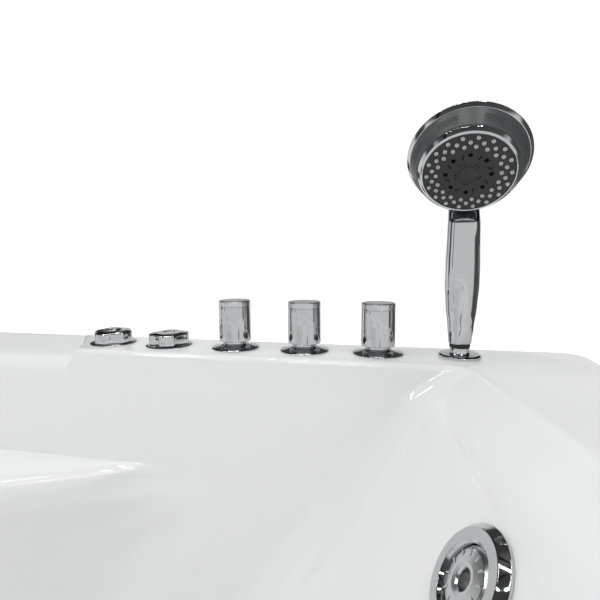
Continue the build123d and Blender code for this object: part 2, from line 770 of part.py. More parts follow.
pump_front = Plane(origin=(PUMP_X, VOLUTE_FRONT_Y, PUMP_Z), z_dir=(0, -1, 0))
pump_back = Plane(origin=(PUMP_X, VOLUTE_BACK_Y, PUMP_Z), z_dir=(0, 1, 0))
volute_length = VOLUTE_BACK_Y - VOLUTE_FRONT_Y
volute_mid_y = (VOLUTE_BACK_Y + VOLUTE_FRONT_Y) / 2
tee_r = WATER_R + SLEEVE_WALL
tee_middle = (WATER_X, volute_mid_y, WATER_Z)
with BuildPart() as pump_volute:
    with Locations(pump_back):
        Cylinder(VOLUTE_R, volute_length, align=DOWNWARD)
    with Locations(pump_front):
        Cylinder(PORT_R, PORT_LENGTH, align=UPWARD)
    with BuildSketch(Plane.XY.offset(PUMP_Z)):
        with Locations((WATER_X, volute_mid_y)):
            Circle(WATER_R + SLEEVE_WALL / 2)
    extrude(amount=WATER_Z - PUMP_Z)
    add(rod(tee_middle, (0, 1, 0), tee_r, volute_length))
    with Locations(pump_back.offset(-VOLUTE_WALL)):
        Cylinder(
            VOLUTE_R - VOLUTE_WALL,
            volute_length - 2 * VOLUTE_WALL,
            align=DOWNWARD,
            mode=Mode.SUBTRACT,
        )
        Cylinder(SHAFT_R + PIPE_FIT, 4 * VOLUTE_WALL, mode=Mode.SUBTRACT)
    with Locations(pump_front):
        Cylinder(SUCTION_R + PIPE_FIT, 3 * PORT_LENGTH, mode=Mode.SUBTRACT)
    add(rod(tee_middle, (0, 1, 0), WATER_R + PIPE_FIT, 2 * volute_length), mode=Mode.SUBTRACT)
write(pump_volute, "pump_volute")

hub_r = 2 * SHAFT_R
with BuildPart() as pump_rotor:
    with Locations(Plane(origin=(PUMP_X, volute_mid_y + IMPELLER_T / 2, PUMP_Z), z_dir=(0, 1, 0))):
        Cylinder(IMPELLER_R, VANE_T, align=DOWNWARD)
        Cylinder(hub_r, IMPELLER_T, align=DOWNWARD)
        Cylinder(SHAFT_R, SHAFT_TAIL, align=UPWARD)
    with BuildSketch(Plane(origin=(PUMP_X, volute_mid_y - IMPELLER_T / 2, PUMP_Z), z_dir=(0, 1, 0))):
        with PolarLocations((hub_r + IMPELLER_R) / 2 - VANE_T / 2, IMPELLER_VANES):
            Rectangle(IMPELLER_R - hub_r + VANE_T, VANE_T, rotation=VANE_ANGLE)
    extrude(amount=IMPELLER_T - VANE_T / 2)
write(pump_rotor, "pump_rotor")

rib_sink = 1.0
with BuildPart() as pump_motor:
    with BuildSketch(pump_back):
        Circle(MOTOR_R)
        with PolarLocations(MOTOR_R + MOTOR_RIB_H / 2 - rib_sink, MOTOR_RIBS):
            Rectangle(MOTOR_RIB_H + 2 * rib_sink, MOTOR_RIB_T)
    extrude(amount=MOTOR_LENGTH)
    with Locations((PUMP_X, VOLUTE_BACK_Y + MOTOR_LENGTH / 2, PLATE_Z + PLATE_THICK)):
        Box(MOTOR_R * 1.5, MOTOR_LENGTH * 0.6, PUMP_RISE - MOTOR_R / 2, align=UPWARD)
    with Locations(pump_back):
        Cylinder(
            SHAFT_R + PIPE_FIT, SHAFT_TAIL, align=UPWARD, mode=Mode.SUBTRACT
        )
write(pump_motor, "pump_motor")

with BuildPart() as motor_fan_cover:
    with Locations(pump_back.offset(MOTOR_LENGTH)):
        Cylinder(MOTOR_R + MOTOR_RIB_H, FAN_COVER_LENGTH, align=UPWARD)
        Cylinder(
            MOTOR_R + MOTOR_RIB_H - FAN_COVER_WALL,
            FAN_COVER_LENGTH - FAN_COVER_WALL,
            align=UPWARD,
            mode=Mode.SUBTRACT,
        )
    with Locations(pump_back.offset(MOTOR_LENGTH + FAN_COVER_LENGTH)):
        with PolarLocations(MOTOR_R * 0.6, FAN_HOLES):
            Cylinder(MOTOR_R * 0.16, 4 * FAN_COVER_WALL, mode=Mode.SUBTRACT)
write(motor_fan_cover, "motor_fan_cover")

with BuildPart() as motor_terminal_box:
    with Locations((PUMP_X, VOLUTE_BACK_Y + MOTOR_LENGTH / 2, PUMP_Z + MOTOR_R + MOTOR_RIB_H)):
        Box(TERMINAL_BOX_X, TERMINAL_BOX_Y, TERMINAL_BOX_Z, align=UPWARD)
    fillet(motor_terminal_box.edges().filter_by(Axis.Z), TERMINAL_BOX_RADIUS)
write(motor_terminal_box, "motor_terminal_box")

# Suction fitting low in the leaning end, its cover and its pipe to the pump
suction_reach = (suction_plane.origin.Z - PUMP_Z) / suction_plane.z_dir.Z
suction_end = suction_plane.origin - suction_plane.z_dir * suction_reach
suction_sleeve = SUCTION_R + SLEEVE_WALL
sleeve_run = 1.4 * suction_sleeve
sleeve_end = suction_end - Vector(sleeve_run, 0, 0)
with BuildPart() as suction_body:
    add(
        pipe(
            (tuple(suction_plane.origin), tuple(suction_end), tuple(sleeve_end)),
            [SUCTION_BEND],
            suction_sleeve,
            SLEEVE_WALL,
            False,
        )
    )
    add(rod(sleeve_end, (1, 0, 0), SUCTION_R + PIPE_FIT, sleeve_run), mode=Mode.SUBTRACT)
write(suction_body, "suction_body")

with BuildPart() as suction_cover:
    with Locations(suction_plane.offset(GRILLE_SEAT_GAP)):
        cover_face = ((GRILLE_R, GRILLE_T / 3), (GRILLE_R * 0.8, GRILLE_T), (0, GRILLE_T))
        add(turned(((0, 0), (GRILLE_R, 0), *cover_face)))
        Cylinder(SUCTION_R, GRILLE_T - GRILLE_FACE_T, align=UPWARD, mode=Mode.SUBTRACT)
        for ring in (1, 2):
            with PolarLocations(ring * SUCTION_R * 0.42, 6 * ring):
                Cylinder(GRILLE_HOLE_R, 4 * GRILLE_T, mode=Mode.SUBTRACT)
write(suction_cover, "suction_cover")

with BuildPart() as suction_pipe:
    add(
        pipe(
            (
                (suction_end.X - sleeve_run / 2, suction_end.Y, PUMP_Z),
                (PUMP_X, suction_end.Y, PUMP_Z),
                (PUMP_X, VOLUTE_FRONT_Y - PORT_LENGTH / 3, PUMP_Z),
            ),
            [SUCTION_BEND],
            SUCTION_R,
            WATER_WALL,
            False,
        )
    )
write(suction_pipe, "suction_pipe")

# Water pipe round three sides, from the pump to every jet
water_end = JET_X[-1] + PIPE_TAIL
with BuildPart() as water_manifold:
    add(
        pipe(
            (
                (water_end, -WATER_Y, WATER_Z),
                (WATER_X, -WATER_Y, WATER_Z),
                (WATER_X, WATER_Y, WATER_Z),
                (water_end, WATER_Y, WATER_Z),
            ),
            [BEND_RADIUS, BEND_RADIUS],
            WATER_R,
            WATER_WALL,
            True,
        )
    )
write(water_manifold, "water_manifold")

# Air pipe above it, and its drop from the air control
AIR_Z = WATER_Z + AIR_RISE
air_end = JET_X[-1] + 2 * PIPE_TAIL / 3
with BuildPart() as air_pipe:
    add(
        pipe(
            (
                (air_end, -AIR_Y, AIR_Z),
                (AIR_X, -AIR_Y, AIR_Z),
                (AIR_X, AIR_Y, AIR_Z),
                (air_end, AIR_Y, AIR_Z),
            ),
            [BEND_RADIUS, BEND_RADIUS],
            AIR_R,
            AIR_WALL,
            True,
        )
    )
write(air_pipe, "air_pipe")

with BuildPart() as air_drop_pipe:
    add(
        pipe(
            (
                (AIR_KNOB_X, FIXTURE_Y, DECK_Z - LOW_BODY_BOTTOM),
                (AIR_KNOB_X, FIXTURE_Y, AIR_Z),
                (AIR_KNOB_X, -AIR_Y, AIR_Z),
            ),
            [TIGHT_BEND],
            AIR_R - AIR_WALL,
            AIR_WALL,
            False,
        )
    )
    add(rod((AIR_KNOB_X, -AIR_Y, AIR_Z), (1, 0, 0), AIR_R + PIPE_FIT, 4 * AIR_R), mode=Mode.SUBTRACT)
write(air_drop_pipe, "air_drop_pipe")

# Jets
back_reaches = [(plane.origin.X - WATER_X) / plane.z_dir.X for plane in back_jet_planes]
with BuildPart() as jet_bodies:
    for plane in jet_planes:
        side = 1 if plane.origin.Y > 0 else -1
        with Locations(plane):
            Cylinder(JET_BODY_R, side_reach, align=DOWNWARD)
        tee = (plane.origin.X, side * WATER_Y, WATER_Z)
        add(rod(tee, (1, 0, 0), tee_r, 2.4 * JET_BODY_R))
        with BuildSketch(Plane.XY.offset(WATER_Z)):
            with Locations((plane.origin.X, side * AIR_Y)):
                Circle(STUB_BORE_R)
        extrude(amount=AIR_RISE)
        air_tee = (plane.origin.X, side * AIR_Y, AIR_Z)
        add(rod(air_tee, (1, 0, 0), AIR_R + PIPE_FIT, 4 * AIR_R), mode=Mode.SUBTRACT)
        add(rod(tee, (1, 0, 0), WATER_R + PIPE_FIT, 4 * JET_BODY_R), mode=Mode.SUBTRACT)
    for plane, reach in zip(back_jet_planes, back_reaches):
        end = plane.origin - plane.z_dir * reach
        with Locations(plane):
            Cylinder(JET_BODY_R, reach, align=DOWNWARD)
        add(rod(end, (0, 0, 1), STUB_R + SLEEVE_WALL, 2.2 * JET_BODY_R))
        stub_middle = end - Vector(0, 0, JET_BODY_R)
        add(rod(stub_middle, (0, 0, 1), STUB_R + PIPE_FIT, 2 * JET_BODY_R), mode=Mode.SUBTRACT)
    for plane in jet_planes + back_jet_planes:
        with Locations(plane):
            Cylinder(JET_BORE_R, 2 * NOZZLE_DEPTH + 4, mode=Mode.SUBTRACT)
write(jet_bodies, "jet_bodies")

with BuildPart() as back_jet_pipes:
    for plane, reach in zip(back_jet_planes, back_reaches):
        end = plane.origin - plane.z_dir * reach
        with BuildSketch(Plane.XY.offset(WATER_Z)):
            with Locations((end.X, end.Y)):
                Circle(STUB_R)
                Circle(STUB_R - WATER_WALL, mode=Mode.SUBTRACT)
        extrude(amount=end.Z - WATER_Z)
        add(rod((WATER_X, end.Y, WATER_Z), (0, 1, 0), WATER_R + PIPE_FIT, 4 * STUB_R), mode=Mode.SUBTRACT)
write(back_jet_pipes, "back_jet_pipes")


def wall_thickness(plane):
    """The shell's thickness square to a wall, whose outside stands off sideways and down."""
    return SHELL_T * (sqrt(1 - plane.z_dir.Z**2) + plane.z_dir.Z)


nut_seats = [(plane, NUT_SEAT) for plane in jet_planes]
nut_seats += [(plane, CURVED_NUT_SEAT) for plane in back_jet_planes]
with BuildPart() as jet_nuts:
    for plane, seat in nut_seats:
        with BuildSketch(plane.offset(-wall_thickness(plane) - seat)):
            RegularPolygon(JET_NUT_R, 8)
            Circle(JET_BODY_R + PIPE_FIT, mode=Mode.SUBTRACT)
        extrude(amount=-JET_NUT_T)
write(jet_nuts, "jet_nuts")

nozzle_gap = NOZZLE_FACE_R + FIT_GAP
ring_profile = (
    (nozzle_gap, 0),
    (JET_RING_R, 0),
    (JET_RING_R, JET_RING_T * 0.3),
    (JET_RING_R - JET_RING_SLOPE, JET_RING_T),
    (nozzle_gap + EDGE_BREAK, JET_RING_T),
    (nozzle_gap, JET_RING_T - EDGE_BREAK),
)
with BuildPart() as jet_rings:
    for plane in jet_planes + back_jet_planes:
        with Locations(plane.offset(JET_SEAT_GAP)):
            add(turned(ring_profile))
write(jet_rings, "jet_rings")

nozzle_profile = (
    (0, -NOZZLE_DEPTH),
    (NOZZLE_FACE_R - 1, -NOZZLE_DEPTH),
    (NOZZLE_FACE_R, 1 - NOZZLE_DEPTH),
    (NOZZLE_FACE_R, JET_RING_T * 0.4),
    (NOZZLE_FACE_R - 2 * EDGE_BREAK, JET_RING_T * 0.75),
    (NOZZLE_BORE_R + 2 * EDGE_BREAK, JET_RING_T),
    (0, JET_RING_T),
)
for number, plane in enumerate(jet_planes + back_jet_planes, 1):
    with BuildPart() as jet_nozzle:
        with Locations(plane):
            add(turned(nozzle_profile))
            Cylinder(NOZZLE_BORE_R, 4 * NOZZLE_DEPTH, mode=Mode.SUBTRACT)
            with PolarLocations(NOZZLE_FACE_R * 0.72, 3):
                Cylinder(NOZZLE_FACE_R * 0.14, 4 * NOZZLE_DEPTH, mode=Mode.SUBTRACT)
    write(jet_nozzle, f"jet_nozzle_{number}")

# Waste in the floor, with its lifting plug
spider_span = 2 * DRAIN_BORE_R + EDGE_BREAK
with BuildPart() as drain_flange:
    with Locations((DRAIN_X, DRAIN_Y, FLOOR_Z)):
        add(
            turned(
                (
                    (DRAIN_BORE_R, DRAIN_TUBE_BOTTOM - FLOOR_Z),
                    (DRAIN_TUBE_R, DRAIN_TUBE_BOTTOM - FLOOR_Z),
                    (DRAIN_TUBE_R, 0),
                    (DRAIN_FLANGE_R, 0),
                    (DRAIN_FLANGE_R - EDGE_BREAK, DRAIN_FLANGE_T),
                    (DRAIN_BORE_R, DRAIN_FLANGE_T),
                )
            )
        )
    with BuildSketch(Plane.XY.offset(FLOOR_Z - 2 * PLUG_T - SHELL_T)):
        with Locations((DRAIN_X, DRAIN_Y)):
            Rectangle(spider_span, PLUG_T)
            Rectangle(PLUG_T, spider_span)
            Circle(PLUG_STEM_R + 2 * EDGE_BREAK)
            Circle(PLUG_STEM_R + FIT_GAP, mode=Mode.SUBTRACT)
    extrude(amount=PLUG_T)
write(drain_flange, "drain_flange")

with BuildPart() as drain_plug:
    with Locations((DRAIN_X, DRAIN_Y, FLOOR_Z + DRAIN_FLANGE_T + FIT_GAP)):
        add(
            turned(
                (
                    (0, -PLUG_STEM_LENGTH),
                    (PLUG_STEM_R, -PLUG_STEM_LENGTH),
                    (PLUG_STEM_R, 0),
                    (PLUG_R, 0),
                    (PLUG_R, PLUG_T / 2),
                    (PLUG_R - 2 * EDGE_BREAK, PLUG_T * 0.85),
                    (0, PLUG_T),
                )
            )
        )
write(drain_plug, "drain_plug")

waste_fit = WASTE_R + PIPE_FIT
trap_top = PLATE_Z - FIT_GAP
sleeve_y = DRAIN_Y + TRAP_R + SLEEVE_WALL
with BuildPart() as drain_trap:
    with BuildSketch(Plane.XY.offset(TRAP_BOTTOM)):
        with Locations((DRAIN_X, DRAIN_Y)):
            Circle(TRAP_R)
    extrude(amount=trap_top - TRAP_BOTTOM)
    add(rod((DRAIN_X, sleeve_y, WASTE_Z), (0, 1, 0), WASTE_R + SLEEVE_WALL, TRAP_R))
    with Locations((DRAIN_X, DRAIN_Y, TRAP_BOTTOM)):
        Cylinder(WASTE_R, WASTE_LENGTH, align=DOWNWARD)
    with BuildSketch(Plane.XY.offset(TRAP_BOTTOM + SLEEVE_WALL)):
        with Locations((DRAIN_X, DRAIN_Y)):
            Circle(DRAIN_TUBE_R + PIPE_FIT)
    extrude(amount=trap_top - TRAP_BOTTOM, mode=Mode.SUBTRACT)
    add(rod((DRAIN_X, sleeve_y, WASTE_Z), (0, 1, 0), waste_fit, 2 * TRAP_R), mode=Mode.SUBTRACT)
    with Locations((DRAIN_X, DRAIN_Y, TRAP_BOTTOM + SLEEVE_WALL)):
        Cylinder(WASTE_R - WASTE_WALL, WASTE_LENGTH + SLEEVE_WALL, align=DOWNWARD, mode=Mode.SUBTRACT)
write(drain_trap, "drain_trap")

# Overflow in the back wall: the tub also fills through it
overflow_reach = (OVERFLOW_PIPE_Y - overflow_plane.origin.Y) / -overflow_plane.z_dir.Y
overflow_end = overflow_plane.origin - overflow_plane.z_dir * overflow_reach
sleeve_r = WASTE_R + SLEEVE_WALL
sleeve_bottom = overflow_end.Z - 2 * sleeve_r
filler_end_x = DRAIN_X - 1.5 * sleeve_r
with BuildPart() as overflow_body:
    with Locations(overflow_plane):
        Cylinder(DRAIN_TUBE_R, overflow_reach, align=DOWNWARD)
    with BuildSketch(Plane.XY.offset(sleeve_bottom)):
        with Locations((DRAIN_X, OVERFLOW_PIPE_Y)):
            Circle(sleeve_r)
    extrude(amount=3 * sleeve_r)
    filler_mouth = (filler_end_x, FILLER_Y, FILLER_Z)
    filler_middle = (DRAIN_X - sleeve_r * 0.75, FILLER_Y, FILLER_Z)
    add(rod(filler_middle, (1, 0, 0), FILLER_R + SLEEVE_WALL, 1.5 * sleeve_r))
    with Locations(overflow_plane):
        Cylinder(DRAIN_BORE_R, overflow_reach, align=DOWNWARD, mode=Mode.SUBTRACT)
    with BuildSketch(Plane.XY.offset(sleeve_bottom)):
        with Locations((DRAIN_X, OVERFLOW_PIPE_Y)):
            Circle(waste_fit)
    extrude(amount=2 * sleeve_r, mode=Mode.SUBTRACT)
    add(rod(filler_mouth, (1, 0, 0), FILLER_R + PIPE_FIT, 1.4 * sleeve_r), mode=Mode.SUBTRACT)
write(overflow_body, "overflow_body")

with BuildPart() as overflow_pipe:
    add(
        pipe(
            (
                (DRAIN_X, OVERFLOW_PIPE_Y, sleeve_bottom + sleeve_r),
                (DRAIN_X, OVERFLOW_PIPE_Y, WASTE_Z),
                (DRAIN_X, sleeve_y, WASTE_Z),
            ),
            [BEND_RADIUS],
            WASTE_R,
            WASTE_WALL,
            False,
        )
    )
write(overflow_pipe, "overflow_pipe")

with BuildPart() as overflow_flange:
    with Locations(overflow_plane.offset(FIT_GAP)):
        add(
            turned(
                (
                    (ROSETTE_STEM_R + PIPE_FIT, 0),
                    (OVERFLOW_FLANGE_R, 0),
                    (OVERFLOW_FLANGE_R - EDGE_BREAK, OVERFLOW_FLANGE_T),
                    (ROSETTE_STEM_R + PIPE_FIT, OVERFLOW_FLANGE_T),
                )
            )
        )
        with PolarLocations(DRAIN_BORE_R * 0.72, OVERFLOW_HOLES):
            Cylinder(OVERFLOW_HOLE_R, 8 * OVERFLOW_FLANGE_T, mode=Mode.SUBTRACT)
write(overflow_flange, "overflow_flange")

with BuildPart() as overflow_rosette:
    with Locations(overflow_plane.offset(2 * FIT_GAP + OVERFLOW_FLANGE_T)):
        add(
            turned(
                (
                    (0, -4 * OVERFLOW_FLANGE_T),
                    (ROSETTE_STEM_R, -4 * OVERFLOW_FLANGE_T),
                    (ROSETTE_STEM_R, 0),
                    (ROSETTE_R - 5, 0),
                    (ROSETTE_R, ROSETTE_T * 0.5),
                    (ROSETTE_R - 2, ROSETTE_T),
                    (0, ROSETTE_T),
                )
            )
        )
        with PolarLocations(ROSETTE_NOTCH_AT, ROSETTE_NOTCHES, start_angle=45):
            Cylinder(ROSETTE_NOTCH_R, 6 * ROSETTE_T, mode=Mode.SUBTRACT)
write(overflow_rosette, "overflow_rosette")

with BuildPart() as filler_pipe:
    add(
        pipe(
            (
                (DIVERTER_X, FIXTURE_Y + BODY_R, FILLER_Z),
                (DIVERTER_X, -FILLER_Y, FILLER_Z),
                (FILLER_X, -FILLER_Y, FILLER_Z),
                (FILLER_X, FILLER_Y, FILLER_Z),
                (filler_end_x, FILLER_Y, FILLER_Z),
            ),
            [TIGHT_BEND, BEND_RADIUS, BEND_RADIUS],
            FILLER_R,
            AIR_WALL,
            False,
        )
    )
write(filler_pipe, "filler_pipe")

# Valves under the deck
tall_xs = (HOT_X, DIVERTER_X, COLD_X)
with BuildPart() as valve_bodies:
    with Locations(*[(x, FIXTURE_Y, DECK_Z) for x in tall_xs]):
        add(
            turned(
                (
                    (0, -VALVE_BOTTOM - INLET_LENGTH),
                    (INLET_R, -VALVE_BOTTOM - INLET_LENGTH),
                    (INLET_R, -VALVE_BOTTOM),
                    (BODY_R, -VALVE_BOTTOM),
                    (BODY_R, 0),
                    (SPINDLE_R, 0),
                    (SPINDLE_R, SPINDLE_TOP),
                    (0, SPINDLE_TOP),
                )
            )
        )
    add(rod((DIVERTER_X, FIXTURE_Y + BODY_R, FILLER_Z), (0, 1, 0), FILLER_R + SLEEVE_WALL - 1, BODY_R))
    add(rod((DIVERTER_X, FIXTURE_Y + 1.5 * BODY_R, FILLER_Z), (0, 1, 0), FILLER_R + PIPE_FIT, BODY_R),
        mode=Mode.SUBTRACT)
write(valve_bodies, "valve_bodies")

with BuildPart() as valve_crossbar:
    bar_z = DECK_Z - VALVE_BOTTOM * 0.55
    add(rod(((HOT_X + COLD_X) / 2, FIXTURE_Y, bar_z), (1, 0, 0), AIR_R, COLD_X - HOT_X))
    for x in tall_xs:
        add(rod((x, FIXTURE_Y, bar_z), (0, 0, 1), BODY_R + PIPE_FIT, 4 * AIR_R), mode=Mode.SUBTRACT)
write(valve_crossbar, "valve_crossbar")

with BuildPart() as deck_nuts:
    with BuildSketch(Plane.XY.offset(UNDER_DECK - DECK_NUT_T)):
        with Locations(*[(x, FIXTURE_Y) for x in fixture_xs]):
            RegularPolygon(DECK_NUT_R, 6)
            Circle(BODY_R + PIPE_FIT, mode=Mode.SUBTRACT)
    extrude(amount=DECK_NUT_T)
write(deck_nuts, "deck_nuts")

# Tall handles and their flanges
spindle_bore = SPINDLE_R + FIT_GAP
with BuildPart() as handle_flanges:
    with Locations(*[(x, FIXTURE_Y, DECK_Z) for x in tall_xs]):
        add(
            turned(
                (
                    (spindle_bore, 0),
                    (TALL_FLANGE_R, 0),
                    (TALL_FLANGE_R, TALL_FLANGE_T * 0.5),
                    (TALL_FLANGE_R - EDGE_BREAK, TALL_FLANGE_T * 0.75),
                    (TALL_NECK_R + 1, TALL_FLANGE_T),
                    (TALL_NECK_R, TALL_FLANGE_T + 1),
                    (TALL_NECK_R, TALL_NECK_TOP),
                    (spindle_bore, TALL_NECK_TOP),
                )
            )
        )
write(handle_flanges, "handle_flanges")

band_low = HANDLE_TOP - HANDLE_BAND
handle_profile = (
    (spindle_bore, HANDLE_BOTTOM),
    (HANDLE_BOTTOM_R - SOFT_EDGE, HANDLE_BOTTOM),
    (HANDLE_BOTTOM_R, HANDLE_BOTTOM + SOFT_EDGE),
    (HANDLE_TOP_R, band_low - HANDLE_GROOVE),
    (HANDLE_TOP_R - HANDLE_GROOVE, band_low - HANDLE_GROOVE),
    (HANDLE_TOP_R - HANDLE_GROOVE, band_low),
    (HANDLE_TOP_R, band_low),
    (HANDLE_TOP_R, HANDLE_TOP - SOFT_EDGE),
    (HANDLE_TOP_R - SOFT_EDGE, HANDLE_TOP),
    (0, HANDLE_TOP),
    (0, SPINDLE_TOP + FIT_GAP),
    (spindle_bore, SPINDLE_TOP + FIT_GAP),
)
for name, x in (("hot_handle", HOT_X), ("diverter_handle", DIVERTER_X), ("cold_handle", COLD_X)):
    with BuildPart() as handle:
        with Locations((x, FIXTURE_Y, DECK_Z)):
            add(turned(handle_profile))
    write(handle, name)

# Low knobs: the air control, and the pump's air switch with its button
low_xs = (AIR_KNOB_X, SWITCH_X)
stem_bore = STEM_R + FIT_GAP
with BuildPart() as low_flanges:
    with Locations(*[(x, FIXTURE_Y, DECK_Z) for x in low_xs]):
        add(
            turned(
                (
                    (stem_bore, 0),
                    (LOW_FLANGE_R, 0),
                    (LOW_FLANGE_R, LOW_FLANGE_T * 0.6),
                    (LOW_FLANGE_R - EDGE_BREAK, LOW_FLANGE_T),
                    (stem_bore, LOW_FLANGE_T),
                )
            )
        )
write(low_flanges, "low_flanges")

stem_top = LOW_KNOB_TOP * 0.6
with BuildPart() as air_regulator:
    with Locations((AIR_KNOB_X, FIXTURE_Y, DECK_Z)):
        add(
            turned(
                (
                    (0, -LOW_BODY_BOTTOM),
                    (BODY_R, -LOW_BODY_BOTTOM),
                    (BODY_R, 0),
                    (STEM_R, 0),
                    (STEM_R, stem_top),
                    (0, stem_top),
                )
            )
        )
write(air_regulator, "air_regulator")

with BuildPart() as switch_body:
    with Locations((SWITCH_X, FIXTURE_Y, DECK_Z)):
        add(turned(((0, -LOW_BODY_BOTTOM), (BODY_R, -LOW_BODY_BOTTOM), (BODY_R, 0), (STEM_R, 0),
                    (STEM_R, LOW_FLANGE_T), (0, LOW_FLANGE_T))))
write(switch_body, "switch_body")


def low_knob_form(x, bottom, bore, bore_top):
    """A low knob with finger scoops round its side and a slightly domed top."""
    scoop_at = LOW_KNOB_R + LOW_SCOOP_R - LOW_SCOOP_DEPTH
    with BuildPart() as knob:
        with Locations((x, FIXTURE_Y, DECK_Z)):
            add(
                turned(
                    (
                        (0, bottom),
                        (LOW_KNOB_R, bottom),
                        (LOW_KNOB_R, LOW_KNOB_TOP - 2 * EDGE_BREAK),
                        (LOW_KNOB_R - EDGE_BREAK, LOW_KNOB_TOP - EDGE_BREAK),
                        (LOW_KNOB_R - 4 * EDGE_BREAK, LOW_KNOB_TOP - SOFT_EDGE / 2),
                        (0, LOW_KNOB_TOP),
                    )
                )
            )
            with PolarLocations(scoop_at, LOW_SCOOPS, start_angle=45):
                Cylinder(LOW_SCOOP_R, 4 * LOW_KNOB_TOP, mode=Mode.SUBTRACT)
            Cylinder(bore, 2 * bore_top, mode=Mode.SUBTRACT)
    return knob.part


with BuildPart() as air_control_knob:
    add(low_knob_form(AIR_KNOB_X, LOW_FLANGE_T + FIT_GAP, stem_bore, stem_top + FIT_GAP))
write(air_control_knob, "air_control_knob")

with BuildPart() as switch_bezel:
    add(low_knob_form(SWITCH_X, LOW_FLANGE_T, BUTTON_R + FIT_GAP, 2 * LOW_KNOB_TOP))
write(switch_bezel, "switch_bezel")

button_bottom = LOW_FLANGE_T + BUTTON_TRAVEL + 1
with BuildPart() as switch_button:
    with Locations((SWITCH_X, FIXTURE_Y, DECK_Z)):
        add(
            turned(
                (
                    (0, button_bottom),
                    (BUTTON_R, button_bottom),
                    (BUTTON_R, LOW_KNOB_TOP + BUTTON_PROUD - 1),
                    (BUTTON_R - EDGE_BREAK, LOW_KNOB_TOP + BUTTON_PROUD - SOFT_EDGE / 3),
                    (0, LOW_KNOB_TOP + BUTTON_PROUD),
                )
            )
        )
write(switch_button, "switch_button")

# Hand shower: its holder, gasket, grip, and head
shank_low = 2.5 * DECK_NUT_T
with BuildPart() as shower_holder:
    with Locations((SHOWER_X, FIXTURE_Y, DECK_Z)):
        add(
            turned(
                (
                    (SOCKET_R, -SHOWER_GUIDE_DEPTH),
                    (SHOWER_GUIDE_R, -SHOWER_GUIDE_DEPTH),
                    (SHOWER_GUIDE_R, -shank_low),
                    (BODY_R, -shank_low),
                    (BODY_R, 0),
                    (SHOWER_FLANGE_R, 0),
                    (SHOWER_FLANGE_R, SHOWER_FLANGE_T * 0.6),
                    (SHOWER_FLANGE_R - EDGE_BREAK, SHOWER_FLANGE_T),
                    (SHOWER_NECK_R + SOFT_EDGE, SHOWER_FLANGE_T),
                    (SHOWER_NECK_R, SHOWER_FLANGE_T + SOFT_EDGE),
                    (SHOWER_NECK_R, SHOWER_NECK_TOP),
                    (SOCKET_R, SHOWER_NECK_TOP),
                )
            )
        )
write(shower_holder, "shower_holder")

gasket_top = SHOWER_NECK_TOP + GASKET_T
with BuildPart() as shower_gasket:
    with Locations((SHOWER_X, FIXTURE_Y, DECK_Z)):
        add(
            turned(
                (
                    (SOCKET_R, SHOWER_NECK_TOP),
                    (SHOWER_NECK_R + SOFT_EDGE, SHOWER_NECK_TOP),
                    (SHOWER_NECK_R + SOFT_EDGE, gasket_top),
                    (SOCKET_R, gasket_top),
                )
            )
        )
write(shower_gasket, "shower_gasket")

turn = radians(HEAD_TURN)
tilt = radians(HEAD_TILT)
forward = Vector(sin(turn), cos(turn), 0)
sideways = Vector(cos(turn), -sin(turn), 0)
handle_axis = Vector(SHOWER_X, FIXTURE_Y, DECK_Z)
head_normal = forward * cos(tilt) - Vector(0, 0, sin(tilt))
head_plane = Plane(
    origin=handle_axis + forward * HEAD_FORWARD + Vector(0, 0, HEAD_Z),
    x_dir=sideways,
    z_dir=head_normal,
)
core_r = PLATE_R * 0.7
ring_back = -HEAD_DEPTH
selector_back = ring_back + HEAD_RING_T + FIT_GAP
selector_front = selector_back + SELECTOR_T
dome_r = HEAD_RING_R - EDGE_BREAK
with BuildPart() as head_turned:
    with BuildSketch(Plane.XZ):
        with BuildLine():
            Polyline(
                (0, ring_back - HEAD_BACK_DEPTH),
                (0, selector_front - HEAD_FLOOR_DEPTH),
                (core_r, selector_front - HEAD_FLOOR_DEPTH),
                (core_r, selector_back - FIT_GAP),
                (HEAD_RING_R - SOFT_EDGE, selector_back - FIT_GAP),
                (HEAD_RING_R, selector_back - FIT_GAP - SOFT_EDGE),
                (HEAD_RING_R, ring_back + SOFT_EDGE),
                (dome_r, ring_back),
            )
            ThreePointArc(
                (dome_r, ring_back),
                (dome_r / 2, ring_back - bulge_offset(dome_r / 2, dome_r, HEAD_BACK_DEPTH)),
                (0, ring_back - HEAD_BACK_DEPTH),
            )
        make_face()
    revolve(axis=Axis.Z)

with BuildPart() as shower_head_shell:
    with Locations(head_plane):
        add(head_turned.part)
write(shower_head_shell, "shower_head_shell")

with BuildPart() as selector_space:
    with Locations(head_plane):
        add(
            turned(
                (
                    (0, selector_back - FIT_GAP),
                    (SELECTOR_BACK_R + SOFT_EDGE, selector_back - FIT_GAP),
                    (SELECTOR_BACK_R + SOFT_EDGE, selector_back),
                    (BEZEL_R + SOFT_EDGE, PLATE_T),
                    (0, PLATE_T),
                )
            )
        )

